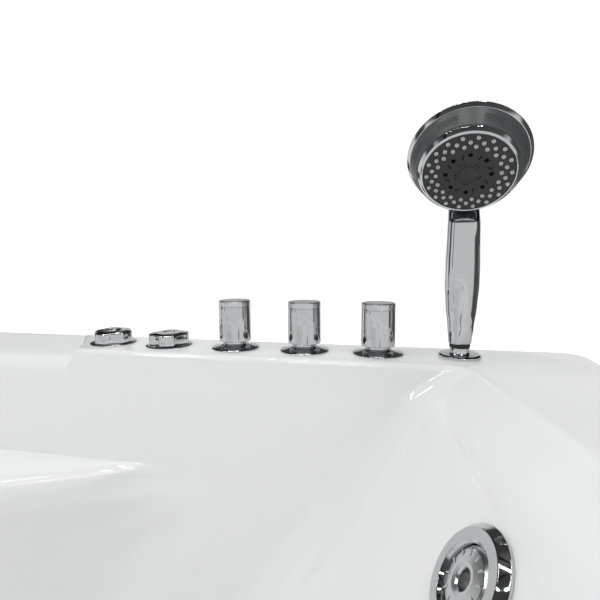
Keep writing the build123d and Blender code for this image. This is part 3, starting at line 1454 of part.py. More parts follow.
grip_sections = (
    (gasket_top + FIT_GAP, 0.0, GRIP_BOTTOM_W, GRIP_BOTTOM_T),
    (GRIP_MIDDLE_Z, 0.0, GRIP_MIDDLE_W, GRIP_MIDDLE_T),
    (GRIP_TOP_Z * 0.78, -GRIP_BEND_BACK, (GRIP_MIDDLE_W + GRIP_TOP_W) / 2, GRIP_MIDDLE_T - 1),
    (GRIP_TOP_Z, -GRIP_TOP_BACK, GRIP_TOP_W, GRIP_TOP_T),
)
top_reach = forward * (PLATE_R / 2) + Vector(0, 0, PLATE_R / 2)
top_origin = head_plane.origin - head_normal * (HEAD_DEPTH + 1) - top_reach
with BuildPart() as shower_grip:
    for height, back, width, thick in grip_sections:
        origin = handle_axis + forward * back + Vector(0, 0, height)
        with BuildSketch(Plane(origin=origin, x_dir=sideways, z_dir=(0, 0, 1))):
            Ellipse(width / 2, thick / 2)
    with BuildSketch(Plane(origin=top_origin, x_dir=sideways, z_dir=forward + Vector(0, 0, 1.2))):
        Ellipse(GRIP_TOP_W / 2, GRIP_TOP_T / 2)
    loft()
    add(shower_head_shell.part, mode=Mode.SUBTRACT)
    add(selector_space.part, mode=Mode.SUBTRACT)
    with Locations(handle_axis + Vector(0, 0, gasket_top + FIT_GAP)):
        Cylinder(SOCKET_R - FIT_GAP, SPIGOT_LENGTH, align=DOWNWARD)
write(shower_grip, "shower_grip")

with BuildPart() as spray_selector:
    with Locations(head_plane):
        add(
            turned(
                (
                    (core_r + FIT_GAP, selector_back),
                    (SELECTOR_BACK_R, selector_back),
                    (SELECTOR_FRONT_R + EDGE_BREAK, selector_front),
                    (core_r + FIT_GAP, selector_front),
                )
            )
        )
write(spray_selector, "spray_selector")

with BuildPart() as spray_bezel:
    with Locations(head_plane):
        add(
            turned(
                (
                    (core_r + FIT_GAP, selector_front),
                    (BEZEL_R + EDGE_BREAK, selector_front),
                    (PLATE_R + EDGE_BREAK, -FIT_GAP),
                    (PLATE_R + SOFT_EDGE, FIT_GAP),
                    (PLATE_R, 0),
                    (PLATE_R, -PLATE_T),
                    (core_r + FIT_GAP, -PLATE_T),
                )
            )
        )
write(spray_bezel, "spray_bezel")

with BuildPart() as spray_plate:
    with BuildSketch(head_plane.offset(-PLATE_T)):
        Circle(PLATE_R - PIPE_FIT)
        with PolarLocations(HOLE_RING_R, HOLE_COUNT):
            Circle(HOLE_R, mode=Mode.SUBTRACT)
    extrude(amount=PLATE_T)
write(spray_plate, "spray_plate")

with BuildPart() as spray_nozzles:
    with BuildSketch(head_plane):
        for ring, radius in enumerate(NOZZLE_RADII):
            with PolarLocations(radius, NOZZLE_COUNT, start_angle=ring * 180 / NOZZLE_COUNT):
                RegularPolygon(NOZZLE_R, 6)
    extrude(amount=NOZZLE_PROUD)
write(spray_nozzles, "spray_nozzles")
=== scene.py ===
import json
import logging
import math
from dataclasses import dataclass, field
from enum import Enum
from typing import Iterable, Sequence

import bmesh
import bpy
from mathutils import Matrix, Vector


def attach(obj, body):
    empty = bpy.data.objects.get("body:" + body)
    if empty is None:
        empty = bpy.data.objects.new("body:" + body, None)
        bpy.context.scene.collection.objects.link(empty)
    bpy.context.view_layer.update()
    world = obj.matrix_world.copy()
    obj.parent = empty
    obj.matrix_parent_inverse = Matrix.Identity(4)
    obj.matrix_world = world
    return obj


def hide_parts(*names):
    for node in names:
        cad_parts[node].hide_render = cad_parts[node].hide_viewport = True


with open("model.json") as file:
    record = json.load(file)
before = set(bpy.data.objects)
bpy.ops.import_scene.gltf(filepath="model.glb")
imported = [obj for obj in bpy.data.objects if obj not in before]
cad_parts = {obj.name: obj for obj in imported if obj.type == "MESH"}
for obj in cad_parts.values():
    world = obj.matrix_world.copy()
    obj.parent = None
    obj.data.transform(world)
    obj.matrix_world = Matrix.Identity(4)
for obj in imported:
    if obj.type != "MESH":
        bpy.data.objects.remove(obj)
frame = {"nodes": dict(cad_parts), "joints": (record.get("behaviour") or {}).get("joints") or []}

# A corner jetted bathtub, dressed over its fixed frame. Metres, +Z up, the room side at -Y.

log = logging.getLogger("bathtub")

Point = tuple[float, float]
MM = 0.001


class Carrier(Enum):
    """The frame's bodies that pieces ride on."""

    TUB = "tub"
    HOT = "hot_handle"
    DIVERTER = "diverter_handle"
    COLD = "cold_handle"
    AIR = "air_control"
    SWITCH = "air_switch"
    SHOWER = "hand_shower"
    SPRAY = "spray_face"
    ROTOR = "pump_rotor"
    PLUG = "drain_plug"
    ROSETTE = "overflow_rosette"


class JetCarrier(Enum):
    """The jets' own bodies."""

    ONE = "jet_1"
    TWO = "jet_2"
    THREE = "jet_3"
    FOUR = "jet_4"
    FIVE = "jet_5"
    SIX = "jet_6"


JET_CARRIERS = dict(enumerate(JetCarrier, 1))


class Slot(Enum):
    """The record's material slots."""

    ACRYLIC = "acrylic"
    CHROME = "chrome"
    GREY = "grey_plastic"
    DARK = "dark_plastic"
    RUBBER = "nozzle_rubber"
    BRASS = "brass"
    FRAME = "frame_steel"
    ZINC = "zinc_steel"
    PLYWOOD = "plywood"
    PIPE = "white_pipe"
    HOSE = "clear_pipe"
    PUMP = "pump_plastic"
    MOTOR = "motor_paint"


class Bench:
    """A material's node tree, with short calls for the nodes that the finishes use."""

    def __init__(self, name: str) -> None:
        """Starts a material with its shader.

        Args:
            name: The material's name.
        """
        self.material = bpy.data.materials.new(name)
        self.material.use_nodes = True
        self.tree = self.material.node_tree
        self.shader = self.tree.nodes["Principled BSDF"]

    def node(self, kind: str, **values: object) -> bpy.types.Node:
        """Adds a node.

        Args:
            kind: The node's type.
            **values: Input values by socket name, with underscores for spaces.

        Returns:
            The new node.
        """
        made = self.tree.nodes.new(kind)
        for name, value in values.items():
            made.inputs[name.replace("_", " ")].default_value = value
        return made

    def link(self, start: bpy.types.NodeSocket, end: bpy.types.NodeSocket) -> None:
        """Joins two sockets."""
        self.tree.links.new(start, end)

    def fixed(self, **values: object) -> None:
        """Sets uniform values on the shader's own sockets."""
        for name, value in values.items():
            self.shader.inputs[name.replace("_", " ")].default_value = value

    def coords(self, stretch: Sequence[float] = (1.0, 1.0, 1.0)) -> bpy.types.NodeSocket:
        """Object coordinates, stretched along the axes.

        Args:
            stretch: The scale along X, Y and Z.

        Returns:
            The vector socket.
        """
        source = self.node("ShaderNodeTexCoord")
        mapping = self.node("ShaderNodeMapping", Scale=tuple(stretch))
        self.link(source.outputs["Object"], mapping.inputs["Vector"])
        return mapping.outputs["Vector"]

    def noise(self, scale: float, detail: float = 3.0,
              stretch: Sequence[float] = (1.0, 1.0, 1.0)) -> bpy.types.NodeSocket:
        """A noise pattern.

        Args:
            scale: Patches per metre.
            detail: Octaves of finer noise.
            stretch: The scale along X, Y and Z.

        Returns:
            The factor socket.
        """
        made = self.node("ShaderNodeTexNoise", Scale=scale, Detail=detail)
        self.link(self.coords(stretch), made.inputs["Vector"])
        return made.outputs["Fac"]

    def cells(self, scale: float, stretch: Sequence[float] = (1.0, 1.0, 1.0)) -> bpy.types.NodeSocket:
        """A pattern of cells.

        Args:
            scale: Cells per metre.
            stretch: The scale along X, Y and Z.

        Returns:
            The distance socket.
        """
        made = self.node("ShaderNodeTexVoronoi", Scale=scale)
        self.link(self.coords(stretch), made.inputs["Vector"])
        return made.outputs["Distance"]

    def lines(self, scale: float, axis: str, distortion: float = 0.0) -> bpy.types.NodeSocket:
        """A pattern of parallel lines.

        Args:
            scale: How closely the lines lie.
            axis: X, Y or Z, across the lines.
            distortion: How far they wander.

        Returns:
            The factor socket.
        """
        made = self.node("ShaderNodeTexWave", Scale=scale, Distortion=distortion, Detail=2.0)
        made.bands_direction = axis
        self.link(self.coords(), made.inputs["Vector"])
        return made.outputs["Fac"]

    def tint(self, factor: bpy.types.NodeSocket, low: Sequence[float], high: Sequence[float]) -> None:
        """Colours the surface between two colours by a pattern.

        Args:
            factor: The pattern.
            low: The colour where it is low.
            high: The colour where it is high.
        """
        ramp = self.node("ShaderNodeValToRGB")
        ramp.color_ramp.elements[0].position = 0.3
        ramp.color_ramp.elements[1].position = 0.7
        ramp.color_ramp.elements[0].color = (*low, 1.0)
        ramp.color_ramp.elements[1].color = (*high, 1.0)
        self.link(factor, ramp.inputs["Fac"])
        self.link(ramp.outputs["Color"], self.shader.inputs["Base Color"])

    def rough(self, factor: bpy.types.NodeSocket, low: float, high: float) -> None:
        """Varies the roughness between two values by a pattern.

        Args:
            factor: The pattern.
            low: The least roughness.
            high: The most roughness.
        """
        span = self.node("ShaderNodeMapRange")
        span.inputs["To Min"].default_value = low
        span.inputs["To Max"].default_value = high
        self.link(factor, span.inputs["Value"])
        self.link(span.outputs["Result"], self.shader.inputs["Roughness"])

    def bump(self, height: bpy.types.NodeSocket, depth: float, strength: float = 1.0) -> None:
        """Raises the surface by a pattern.

        Args:
            height: The pattern.
            depth: Its depth in metres.
            strength: How strongly it shows.
        """
        made = self.node("ShaderNodeBump", Strength=strength, Distance=depth)
        self.link(height, made.inputs["Height"])
        self.link(made.outputs["Normal"], self.shader.inputs["Normal"])


def shade(color: Sequence[float], by: float) -> tuple[float, float, float]:
    """A colour made lighter or darker.

    Args:
        color: The colour.
        by: The factor, 1.0 for no change.

    Returns:
        The new colour, kept under white.
    """
    return tuple(min(1.0, channel * by) for channel in color)


@dataclass(frozen=True)
class Finish:
    """A surface finish. Each kind makes its own material."""

    name: str
    slot: Slot
    color: tuple[float, float, float]

    def dress(self, bench: Bench) -> None:
        """Adds this finish's nodes and values to a bench."""
        bench.tint(bench.noise(40.0), shade(self.color, 0.96), shade(self.color, 1.03))

    def material(self) -> bpy.types.Material:
        """The finish's material, made once.

        Returns:
            The material.
        """
        known = bpy.data.materials.get(self.name)
        if known is not None:
            return known
        bench = Bench(self.name)
        self.dress(bench)
        return bench.material


@dataclass(frozen=True)
class Gelcoat(Finish):
    """Glossy cast acrylic, thermoformed: faint waviness and a touch of tone."""

    def dress(self, bench: Bench) -> None:
        """Adds the gloss, the tone and the faint surface wave."""
        bench.tint(bench.noise(2.5, 2.0), shade(self.color, 0.985), shade(self.color, 1.01))
        bench.rough(bench.noise(9.0, 4.0), 0.022, 0.04)
        bench.bump(bench.noise(16.0, 1.0), 0.12 * MM, 0.25)
        bench.fixed(IOR=1.49, Specular_IOR_Level=0.5)


@dataclass(frozen=True)
class Plated(Finish):
    """Bright or satin plating with faint wipe marks."""

    low_rough: float = 0.035
    high_rough: float = 0.075
    ripple: float = 0.02

    def dress(self, bench: Bench) -> None:
        """Adds the metal's colour, wipe marks and slight ripple."""
        bench.fixed(Metallic=1.0)
        bench.tint(bench.noise(70.0, 4.0), shade(self.color, 0.97), shade(self.color, 1.02))
        bench.rough(bench.noise(220.0, 5.0, (1.0, 1.0, 0.3)), self.low_rough, self.high_rough)
        bench.bump(bench.noise(140.0, 2.0), self.ripple * MM, 0.5)


@dataclass(frozen=True)
class Moulded(Finish):
    """Moulded plastic with a fine texture."""

    low_rough: float = 0.38
    high_rough: float = 0.5
    grain: float = 900.0
    grain_depth: float = 0.04
    gloss: float = 0.5

    def dress(self, bench: Bench) -> None:
        """Adds the tone, the satin sheen and the grain."""
        bench.tint(bench.noise(90.0, 4.0), shade(self.color, 0.93), shade(self.color, 1.06))
        bench.rough(bench.noise(160.0, 4.0), self.low_rough, self.high_rough)
        bench.bump(bench.noise(self.grain, 2.0), self.grain_depth * MM, 0.5)
        bench.fixed(IOR=1.46, Specular_IOR_Level=self.gloss)


@dataclass(frozen=True)
class Elastic(Finish):
    """Soft rubber or silicone."""

    def dress(self, bench: Bench) -> None:
        """Adds the dull sheen and the faint bloom."""
        bench.tint(bench.noise(300.0, 3.0), shade(self.color, 0.92), shade(self.color, 1.05))
        bench.rough(bench.noise(500.0, 3.0), 0.5, 0.68)
        bench.fixed(IOR=1.43, Sheen_Weight=0.08)


@dataclass(frozen=True)
class Machined(Finish):
    """Turned or drawn bare metal with fine tool lines."""

    line_axis: str = "Z"
    lines_scale: float = 260.0

    def dress(self, bench: Bench) -> None:
        """Adds the metal, dull patches and tool lines."""
        bench.fixed(Metallic=1.0)
        bench.tint(bench.noise(60.0, 5.0), shade(self.color, 0.78), shade(self.color, 1.06))
        bench.rough(bench.noise(120.0, 4.0), 0.24, 0.42)
        bench.bump(bench.lines(self.lines_scale, self.line_axis, 0.6), 0.02 * MM, 0.5)


@dataclass(frozen=True)
class Spangled(Finish):
    """Zinc plating with its crystals."""

    def dress(self, bench: Bench) -> None:
        """Adds the metal and the spangle."""
        bench.fixed(Metallic=1.0)
        bench.tint(bench.cells(180.0), shade(self.color, 0.82), shade(self.color, 1.08))
        bench.rough(bench.cells(150.0), 0.3, 0.46)
        bench.bump(bench.noise(400.0, 3.0), 0.02 * MM, 0.4)


@dataclass(frozen=True)
class Coated(Finish):
    """Powder coat or enamel, with its slight peel."""

    def dress(self, bench: Bench) -> None:
        """Adds the tone, sheen and peel."""
        bench.tint(bench.noise(12.0, 5.0), shade(self.color, 0.9), shade(self.color, 1.07))
        bench.rough(bench.noise(80.0, 4.0), 0.32, 0.48)
        bench.bump(bench.noise(500.0, 2.0), 0.06 * MM, 0.5)


@dataclass(frozen=True)
class Boarded(Finish):
    """Sealed plywood: grain along X and plies on the edge."""

    def dress(self, bench: Bench) -> None:
        """Adds the grain, the plies' lines and the sealed sheen."""
        grain = bench.noise(9.0, 8.0, (1.0, 14.0, 1.0))
        plies = bench.lines(55.0, "Z")
        both = bench.node("ShaderNodeMath")
        both.operation = "MULTIPLY_ADD"
        both.inputs[1].default_value = 0.3
        bench.link(plies, both.inputs[0])
        bench.link(grain, both.inputs[2])
        bench.tint(both.outputs["Value"], shade(self.color, 0.62), shade(self.color, 1.08))
        bench.rough(grain, 0.45, 0.62)
        bench.bump(grain, 0.1 * MM, 0.4)


@dataclass(frozen=True)
class Milky(Finish):
    """Milky flexible pipe, a little clear."""

    def dress(self, bench: Bench) -> None:
        """Adds the tone, the sheen and the faint rings of the drawn pipe."""
        bench.tint(bench.noise(30.0, 3.0), shade(self.color, 0.94), shade(self.color, 1.04))
        bench.rough(bench.noise(90.0, 3.0), 0.22, 0.34)
        bench.bump(bench.noise(120.0, 2.0), 0.05 * MM, 0.4)
        bench.fixed(IOR=1.45, Transmission_Weight=0.18)


WHITE_GELCOAT = Gelcoat("gelcoat_white", Slot.ACRYLIC, (0.84, 0.842, 0.845))
BRIGHT_CHROME = Plated("chrome_bright", Slot.CHROME, (0.62, 0.625, 0.635))
SATIN_CHROME = Plated("chrome_satin", Slot.CHROME, (0.66, 0.665, 0.67), 0.2, 0.3, 0.01)
# The cap's chrome colour is darkened to stand in for the dark surroundings it mirrors: a painted dark
# reflection.
CAP_CHROME_PAINTED_REFLECTION = Plated("chrome_cap_painted_reflection", Slot.CHROME, (0.25, 0.253, 0.257), 0.12, 0.2, 0.008)
GREY_SATIN = Moulded("satin_grey", Slot.GREY, (0.082, 0.084, 0.086), 0.3, 0.4, 700.0, 0.02)
PLATE_DARK = Moulded("spray_plate_dark", Slot.DARK, (0.038, 0.038, 0.04), 0.36, 0.48, 1200.0, 0.03, 0.35)
# Near-black discs stand in for the shade inside the spray holes and the nozzle bores: painted shade.
HOLE_SHADE_BLACK = Moulded("painted_hole_shade", Slot.DARK, (0.004, 0.004, 0.004), 0.7, 0.8, 900.0, 0.02, 0.05)
NOZZLE_GREY = Elastic("nozzle_silicone", Slot.RUBBER, (0.62, 0.62, 0.62))
GASKET_BLACK = Elastic("gasket_black", Slot.RUBBER, (0.02, 0.02, 0.021))
RAW_BRASS = Machined("brass_raw", Slot.BRASS, (0.72, 0.53, 0.27))
RAIL_GREY = Coated("rail_powder_coat", Slot.FRAME, (0.3, 0.31, 0.325))
ZINC_PLATE = Spangled("zinc_plate", Slot.ZINC, (0.6, 0.605, 0.61))
SEALED_PLY = Boarded("plywood_sealed", Slot.PLYWOOD, (0.6, 0.43, 0.26))
PIPE_WHITE = Moulded("pipe_white", Slot.PIPE, (0.74, 0.74, 0.73), 0.28, 0.4, 300.0, 0.03)
HOSE_MILKY = Milky("hose_milky", Slot.HOSE, (0.66, 0.69, 0.71))
PUMP_BLACK = Moulded("pump_black", Slot.PUMP, (0.03, 0.03, 0.032), 0.42, 0.55, 600.0, 0.08)
MOTOR_BLUE = Coated("motor_enamel", Slot.MOTOR, (0.07, 0.09, 0.14))


def rounded(corners: Sequence[tuple[float, float, float]], steps: int = 5,
            closed: bool = False) -> list[Point]:
    """A line through corners, each rounded by its own radius.

    Args:
        corners: Points as (first, second, radius); radius 0 leaves a corner sharp.
        steps: Pieces in each rounding.
        closed: Whether the last corner joins the first.

    Returns:
        The rounded line's points.
    """
    line: list[Point] = []
    count = len(corners)
    for index, (x, y, radius) in enumerate(corners):
        here = Vector((x, y))
        if radius <= 0.0 or (not closed and index in (0, count - 1)):
            line.append((x, y))
            continue
        before = (Vector(corners[index - 1][:2]) - here).normalized()
        after = (Vector(corners[(index + 1) % count][:2]) - here).normalized()
        half = before.angle(after) / 2.0
        reach = radius / math.tan(half)
        centre = here + (before + after).normalized() * (radius / math.sin(half))
        first = here + before * reach - centre
        last = here + after * reach - centre
        sweep = first.angle_signed(last)
        for step in range(steps + 1):
            turn = -sweep * step / steps
            spoke = Vector((first.x * math.cos(turn) - first.y * math.sin(turn),
                            first.x * math.sin(turn) + first.y * math.cos(turn)))
            line.append(tuple(centre + spoke))
    return line


def turn_form(bm: bmesh.types.BMesh, outline: Sequence[Point], place: Matrix, steps: int = 96,
              ring: bool = False) -> list[bmesh.types.BMVert]:
    """Turns an outline of radius and height about its Z axis.

    Args:
        bm: The mesh to add to.
        outline: The outline's points.
        place: Where the turned piece stands.
        steps: Facets round the axis.
        ring: Whether the outline closes on itself clear of the axis.

    Returns:
        The turned piece's vertices.
    """
    verts = [bm.verts.new((radius, 0.0, height)) for radius, height in outline]
    pairs = list(zip(verts, verts[1:])) + ([(verts[-1], verts[0])] if ring else [])
    edges = [bm.edges.new(pair) for pair in pairs]
    old = set(bm.verts) - set(verts)
    bmesh.ops.spin(bm, geom=verts + edges, cent=(0, 0, 0), axis=(0, 0, 1), angle=math.tau,
                   steps=steps, use_merge=True)
    fresh = [vert for vert in bm.verts if vert not in old]
    bmesh.ops.remove_doubles(bm, verts=fresh, dist=1e-6)
    fresh = [vert for vert in bm.verts if vert not in old]
    bmesh.ops.transform(bm, matrix=place, verts=fresh)
    return fresh


def first_ring(bm: bmesh.types.BMesh, count: int, capped: bool = False) -> list[bmesh.types.BMVert]:
    """A loose ring of vertices, in order round the origin.

    Args:
        bm: The mesh to add to.
        count: How many vertices.
        capped: Whether a face closes it.

    Returns:
        The ring.
    """
    ring = bmesh.ops.create_circle(bm, cap_ends=capped, radius=1.0, segments=count)["verts"]
    ring.sort(key=lambda vert: math.atan2(vert.co.y, vert.co.x))
    return ring


def next_ring(bm: bmesh.types.BMesh, ring: list[bmesh.types.BMVert]) -> list[bmesh.types.BMVert]:
    """Extrudes a closed ring of edges.

    Args:
        bm: The mesh that holds it.
        ring: The ring's vertices in order.

    Returns:
        The new ring's vertices in the same order.
    """
    edges = [bm.edges.get((one, two)) for one, two in zip(ring, ring[1:] + ring[:1])]
    made = bmesh.ops.extrude_edge_only(bm, edges=edges)["geom"]
    fresh = {item for item in made if isinstance(item, bmesh.types.BMVert)}
    return [next(edge.other_vert(vert) for edge in vert.link_edges if edge.other_vert(vert) in fresh)
            for vert in ring]


def publish(bm: bmesh.types.BMesh, name: str, finish: Finish, carrier: Carrier | JetCarrier,
            replaces: Iterable[str] = (), sharp: float = 32.0) -> bpy.types.Object:
    """Turns a finished bmesh into a piece of the bathtub.

    Args:
        bm: The mesh, which is freed.
        name: The piece's name.
        finish: Its finish.
        carrier: The body that it rides on.
        replaces: Frame nodes that it stands for.
        sharp: The angle in degrees past which an edge stays sharp.

    Returns:
        The new object.
    """
    bmesh.ops.recalc_face_normals(bm, faces=bm.faces)
    mesh = bpy.data.meshes.new(name)
    bm.to_mesh(mesh)
    bm.free()
    mesh.shade_smooth()
    mesh.set_sharp_from_angle(angle=math.radians(sharp))
    piece = bpy.data.objects.new(name, mesh)
    bpy.context.scene.collection.objects.link(piece)
    mesh.materials.append(finish.material())
    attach(piece, carrier.value)
    nodes = list(replaces)
    if nodes:
        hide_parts(*nodes)
    log.info("%s: %d faces on %s", name, len(mesh.polygons), carrier.value)
    return piece


def dress_node(node: str, finish: Finish) -> None:
    """Gives a frame node that stays in view its finish.

    Args:
        node: The node's name.
        finish: The finish.
    """
    mesh = frame["nodes"][node].data
    mesh.materials.clear()
    mesh.materials.append(finish.material())
    log.info("%s: dressed in %s", node, finish.name)


def joint_place(name: str) -> tuple[Vector, Vector]:
    """A joint's place and axis.

    Args:
        name: The joint's name.

    Returns:
        Its place and its axis in the frame.
    """
    joint = next(item for item in frame["joints"] if item["name"] == name)
    return Vector(joint["pos_m"]), Vector(joint["axis"])


def smooth_step(value: float) -> float:
    """A soft ramp from 0 to 1."""
    value = min(1.0, max(0.0, value))
    return value * value * (3.0 - 2.0 * value)


def blend(low: float, high: float, share: float) -> float:
    """The value a share of the way from low to high."""
    return low + (high - low) * share


@dataclass(frozen=True)
class RolledWall:
    """A wall's section: how far it stands in from the deck's inner edge at each depth."""

    line: tuple[Point, ...]

    def inset(self, depth: float) -> float:
        """The section's inset.

        Args:
            depth: Depth below the deck.

        Returns:
            The distance in from the deck's inner edge, less than zero on the rolled rim.
        """
        previous = self.line[0]
        if depth <= previous[1] + 1e-9:
            return previous[0]
        for here in self.line[1:]:
            if depth <= here[1]:
                share = (depth - previous[1]) / max(here[1] - previous[1], 1e-9)
                return blend(previous[0], here[0], share)
            previous = here
        return previous[0]


class Columns:
    """How many of the shell's columns lie along each stretch of its outline."""

    NEAR = 16
    CURVE = 52
    RIGHT = 30
    FAR_TURN = 18
    BACK = 120
    BACK_TURN = 16
    LEAN = 60
    NEAR_TURN = 20


@dataclass
class TubShell:
    """The one-piece thermoformed shell: lip, deck, recess, basin, armrests and floor."""

    length: float = 1.8
    width: float = 1.2
    rim: float = 0.6
    wall: float = 0.008
    lip: float = 0.046
    curve: float = 0.65
    corner: float = 0.025
    deck: float = 0.0795
    left_deck: float = 0.124
    bulge: float = 0.062
    depth: float = 0.43
    draft: float = 17.7
    lean: float = 32.3
    shoulder_depth: float = 0.027
    shoulder_run: float = 0.038
    rim_roll: float = 0.008
    shoulder_roll: float = 0.034
    edge_roll: float = 0.007
    floor_rise: float = 0.05
    floor_run: float = 0.06
    corner_radii: tuple[float, float, float] = (0.024, 0.12, 0.06)
    radius_growth: float = 0.25
    arm_depth: float = 0.105
    arm_width: float = 0.095
    arm_start: float = -0.491
    arm_end: float = 0.33
    arm_angle: float = 25.0
    arm_draft: float = 6.0
    arm_corner: float = 0.11
    arm_roll: float = 0.016
    recess_start: float = -0.366
    recess_end: float = 0.219
    recess_splay: float = 0.038
    recess_drop: float = 0.013
    recess_roll: float = 0.028
    lean_roll: float = 0.012
    lip_edge: float = 0.0015
    arm_soft: float = 0.007
    arm_fade: float = 0.03
    arm_sag: float = 0.0015
    plain_from: float = 0.048
    column_step: float = 0.011
    under_depths: tuple[float, ...] = (0.36, 0.31, 0.26, 0.21, 0.17, 0.14)
    under_rim: tuple[float, ...] = (0.095, 0.075, 0.055, 0.04, 0.03, 0.02, 0.01, 0.004, 0.0)
    upper_depths: tuple[float, ...] = (0.055, 0.064, 0.075, 0.086, 0.096, 0.102)
    lower_depths: tuple[float, ...] = (0.127, 0.136, 0.15, 0.17, 0.2, 0.24, 0.28, 0.32, 0.355)
    ramp: float = 0.0045
    fixed_from: float = -0.56
    holes: list[tuple[Matrix, float, float]] = field(default_factory=list)

    def __post_init__(self) -> None:
        """Works out the sections and the columns."""
        self.left, self.right = -self.length / 2, self.length / 2
        self.front, self.back = -self.width / 2, self.width / 2
        self.curve_x, self.curve_y = self.right - self.curve, self.front + self.curve
        side_slope = math.tan(math.radians(self.draft))
        lean_slope = math.tan(math.radians(self.lean))
        foot = self.shoulder_run + (self.depth - self.shoulder_depth) * lean_slope
        self.side_wall = RolledWall(tuple(rounded([
            (-self.deck, 0.0, 0.0), (0.0, 0.0, self.rim_roll),
            (self.depth * side_slope, self.depth, 0.0)], 10)[1:]))
        self.left_wall = RolledWall(tuple(rounded([
            (-self.deck, 0.0, 0.0), (0.0, 0.0, self.lean_roll),
            (self.shoulder_run, self.shoulder_depth, self.shoulder_roll), (foot, self.depth, 0.0)], 10)[1:]))
        slope = self.recess_drop / (self.deck + self.rim_roll)
        drop = slope * self.deck / (1.0 - slope * side_slope)
        self.recess_line = rounded([
            (-self.deck, 0.0, 0.0), (drop * side_slope, drop, self.recess_roll),
            (self.depth * side_slope, self.depth, 0.0)], 8)[1:]
        self.front_xs = self.front_columns()
        self.front_count = Columns.NEAR + len(self.front_xs)

    def front_columns(self) -> list[float]:
        """X of the front wall's fixed columns, close together at the recess's two ends.

        Returns:
            The places from the shower's end to the start of the curve.
        """
        places = []
        spots = [self.fixed_from, self.recess_start, self.recess_end, self.curve_x]
        near = [offset * self.ramp / 3 for offset in range(-5, 6)]
        for start, end in zip(spots, spots[1:]):
            low = start + (near[-1] if start != self.fixed_from else 0.0)
            high = end + (near[0] if end != self.curve_x else 0.0)
            count = max(2, round((high - low) / self.column_step))
            places += [blend(low, high, step / count) for step in range(count)]
            if end != self.curve_x:
                places += [end + offset for offset in near[:-1]]
        return places

    def even(self, first: float, last: float, count: int) -> list[float]:
        """Values at even steps from the first towards the last, which is left out."""
        return [blend(first, last, step / count) for step in range(count)]

    def corner_arc(self, x: float, y: float, radius: float, first: float, last: float,
                   count: int) -> list[Point]:
        """Points on an arc, without its last one.

        Args:
            x: The centre's X.
            y: The centre's Y.
            radius: The radius.
            first: The start angle in degrees.
            last: The end angle in degrees.
            count: How many points.

        Returns:
            The points.
        """
        return [(x + radius * math.cos(math.radians(angle)), y + radius * math.sin(math.radians(angle)))
                for angle in self.even(first, last, count)]

    def outer_loop(self, inset: float) -> list[Point]:
        """The deck's outer outline in the columns' order, set in by a distance.

        Args:
            inset: The distance.

        Returns:
            One point for each column.
        """
        left, right = self.left + inset, self.right - inset
        front, back = self.front + inset, self.back - inset
        round_r = max(self.corner - inset, 0.002)
        start = left + round_r
        xs = self.even(start, self.fixed_from, Columns.NEAR)
        xs += [x + self.splay(x) for x in self.front_xs]
        loop = [(x, front) for x in xs]
        loop += self.corner_arc(self.curve_x, self.curve_y, self.curve - inset, -90, 0, Columns.CURVE)
        loop += [(right, y) for y in self.even(self.curve_y, back - round_r, Columns.RIGHT)]
        loop += self.corner_arc(right - round_r, back - round_r, round_r, 0, 90, Columns.FAR_TURN)
        loop += [(x, back) for x in self.even(right - round_r, start, Columns.BACK)]
        loop += self.corner_arc(start, back - round_r, round_r, 90, 180, Columns.BACK_TURN)
        loop += [(left, y) for y in self.even(back - round_r, front + round_r, Columns.LEAN)]
        loop += self.corner_arc(start, front + round_r, round_r, 180, 270, Columns.NEAR_TURN)
        return loop

    def splay(self, x: float) -> float:
        """How far a column's outer end stands along X from its inner end, to follow the recess."""
        spots = ((self.fixed_from, 0.0), (self.recess_start, self.recess_splay),
                 (self.recess_end, -self.recess_splay), (self.curve_x, 0.0))
        for (low, first), (high, last) in zip(spots, spots[1:]):
            if x <= high:
                return blend(first, last, (x - low) / (high - low))
        return 0.0

    def basin_loop(self, depth: float, side: float, left_in: float) -> list[Point]:
        """The basin's outline at one level, in the columns' order.

        Args:
            depth: Depth below the deck, which sets the corner radii and the columns' spread.
            side: Inset of the front, back and right walls from the deck's inner edge.
            left_in: Inset of the leaning end.

        Returns:
            One point for each column.
        """
        left = self.left + self.left_deck + left_in
        right = self.right - self.deck - side
        front, back = self.front + self.deck + side, self.back - self.deck - side
        grown = depth * self.radius_growth - min(side, 0.0)
        near_r, far_r, back_r = (radius + grown for radius in self.corner_radii)
        arc_r = (back**2 + self.bulge**2) / (2 * self.bulge)
        arc_x = left - self.bulge + arc_r
        near_x = arc_x - math.sqrt((arc_r - near_r) ** 2 - (back - near_r) ** 2)
        back_x = arc_x - math.sqrt((arc_r - back_r) ** 2 - (back - back_r) ** 2)
        near_turn = math.degrees(math.atan2(back - near_r, arc_x - near_x))
        back_turn = math.degrees(math.atan2(back - back_r, arc_x - back_x))
        share = smooth_step((depth - self.arm_depth) / 0.09)
        top_x = self.left + self.left_deck + self.corner_radii[0]
        squeeze = (self.curve_x - near_x) / (self.curve_x - top_x)
        xs = self.even(near_x, blend(self.fixed_from, near_x + (self.fixed_from - top_x) * squeeze, share),
                       Columns.NEAR)
        xs += [blend(x, near_x + (x - top_x) * squeeze, share) for x in self.front_xs]
        loop = [(x, front) for x in xs]
        curve = self.curve - self.deck - side
        loop += self.corner_arc(self.curve_x, self.curve_y, curve, -90, 0, Columns.CURVE)
        loop += [(right, y) for y in self.even(self.curve_y, back - far_r, Columns.RIGHT)]
        loop += self.corner_arc(right - far_r, back - far_r, far_r, 0, 90, Columns.FAR_TURN)
        loop += [(x, back) for x in self.even(right - far_r, back_x, Columns.BACK)]
        loop += self.corner_arc(back_x, back - back_r, back_r, 90, 180 - back_turn, Columns.BACK_TURN)
        loop += self.corner_arc(arc_x, 0.0, arc_r, 180 - back_turn, 180 + near_turn, Columns.LEAN)
        loop += self.corner_arc(near_x, front + near_r, near_r, 180 + near_turn, 270, Columns.NEAR_TURN)
        return loop

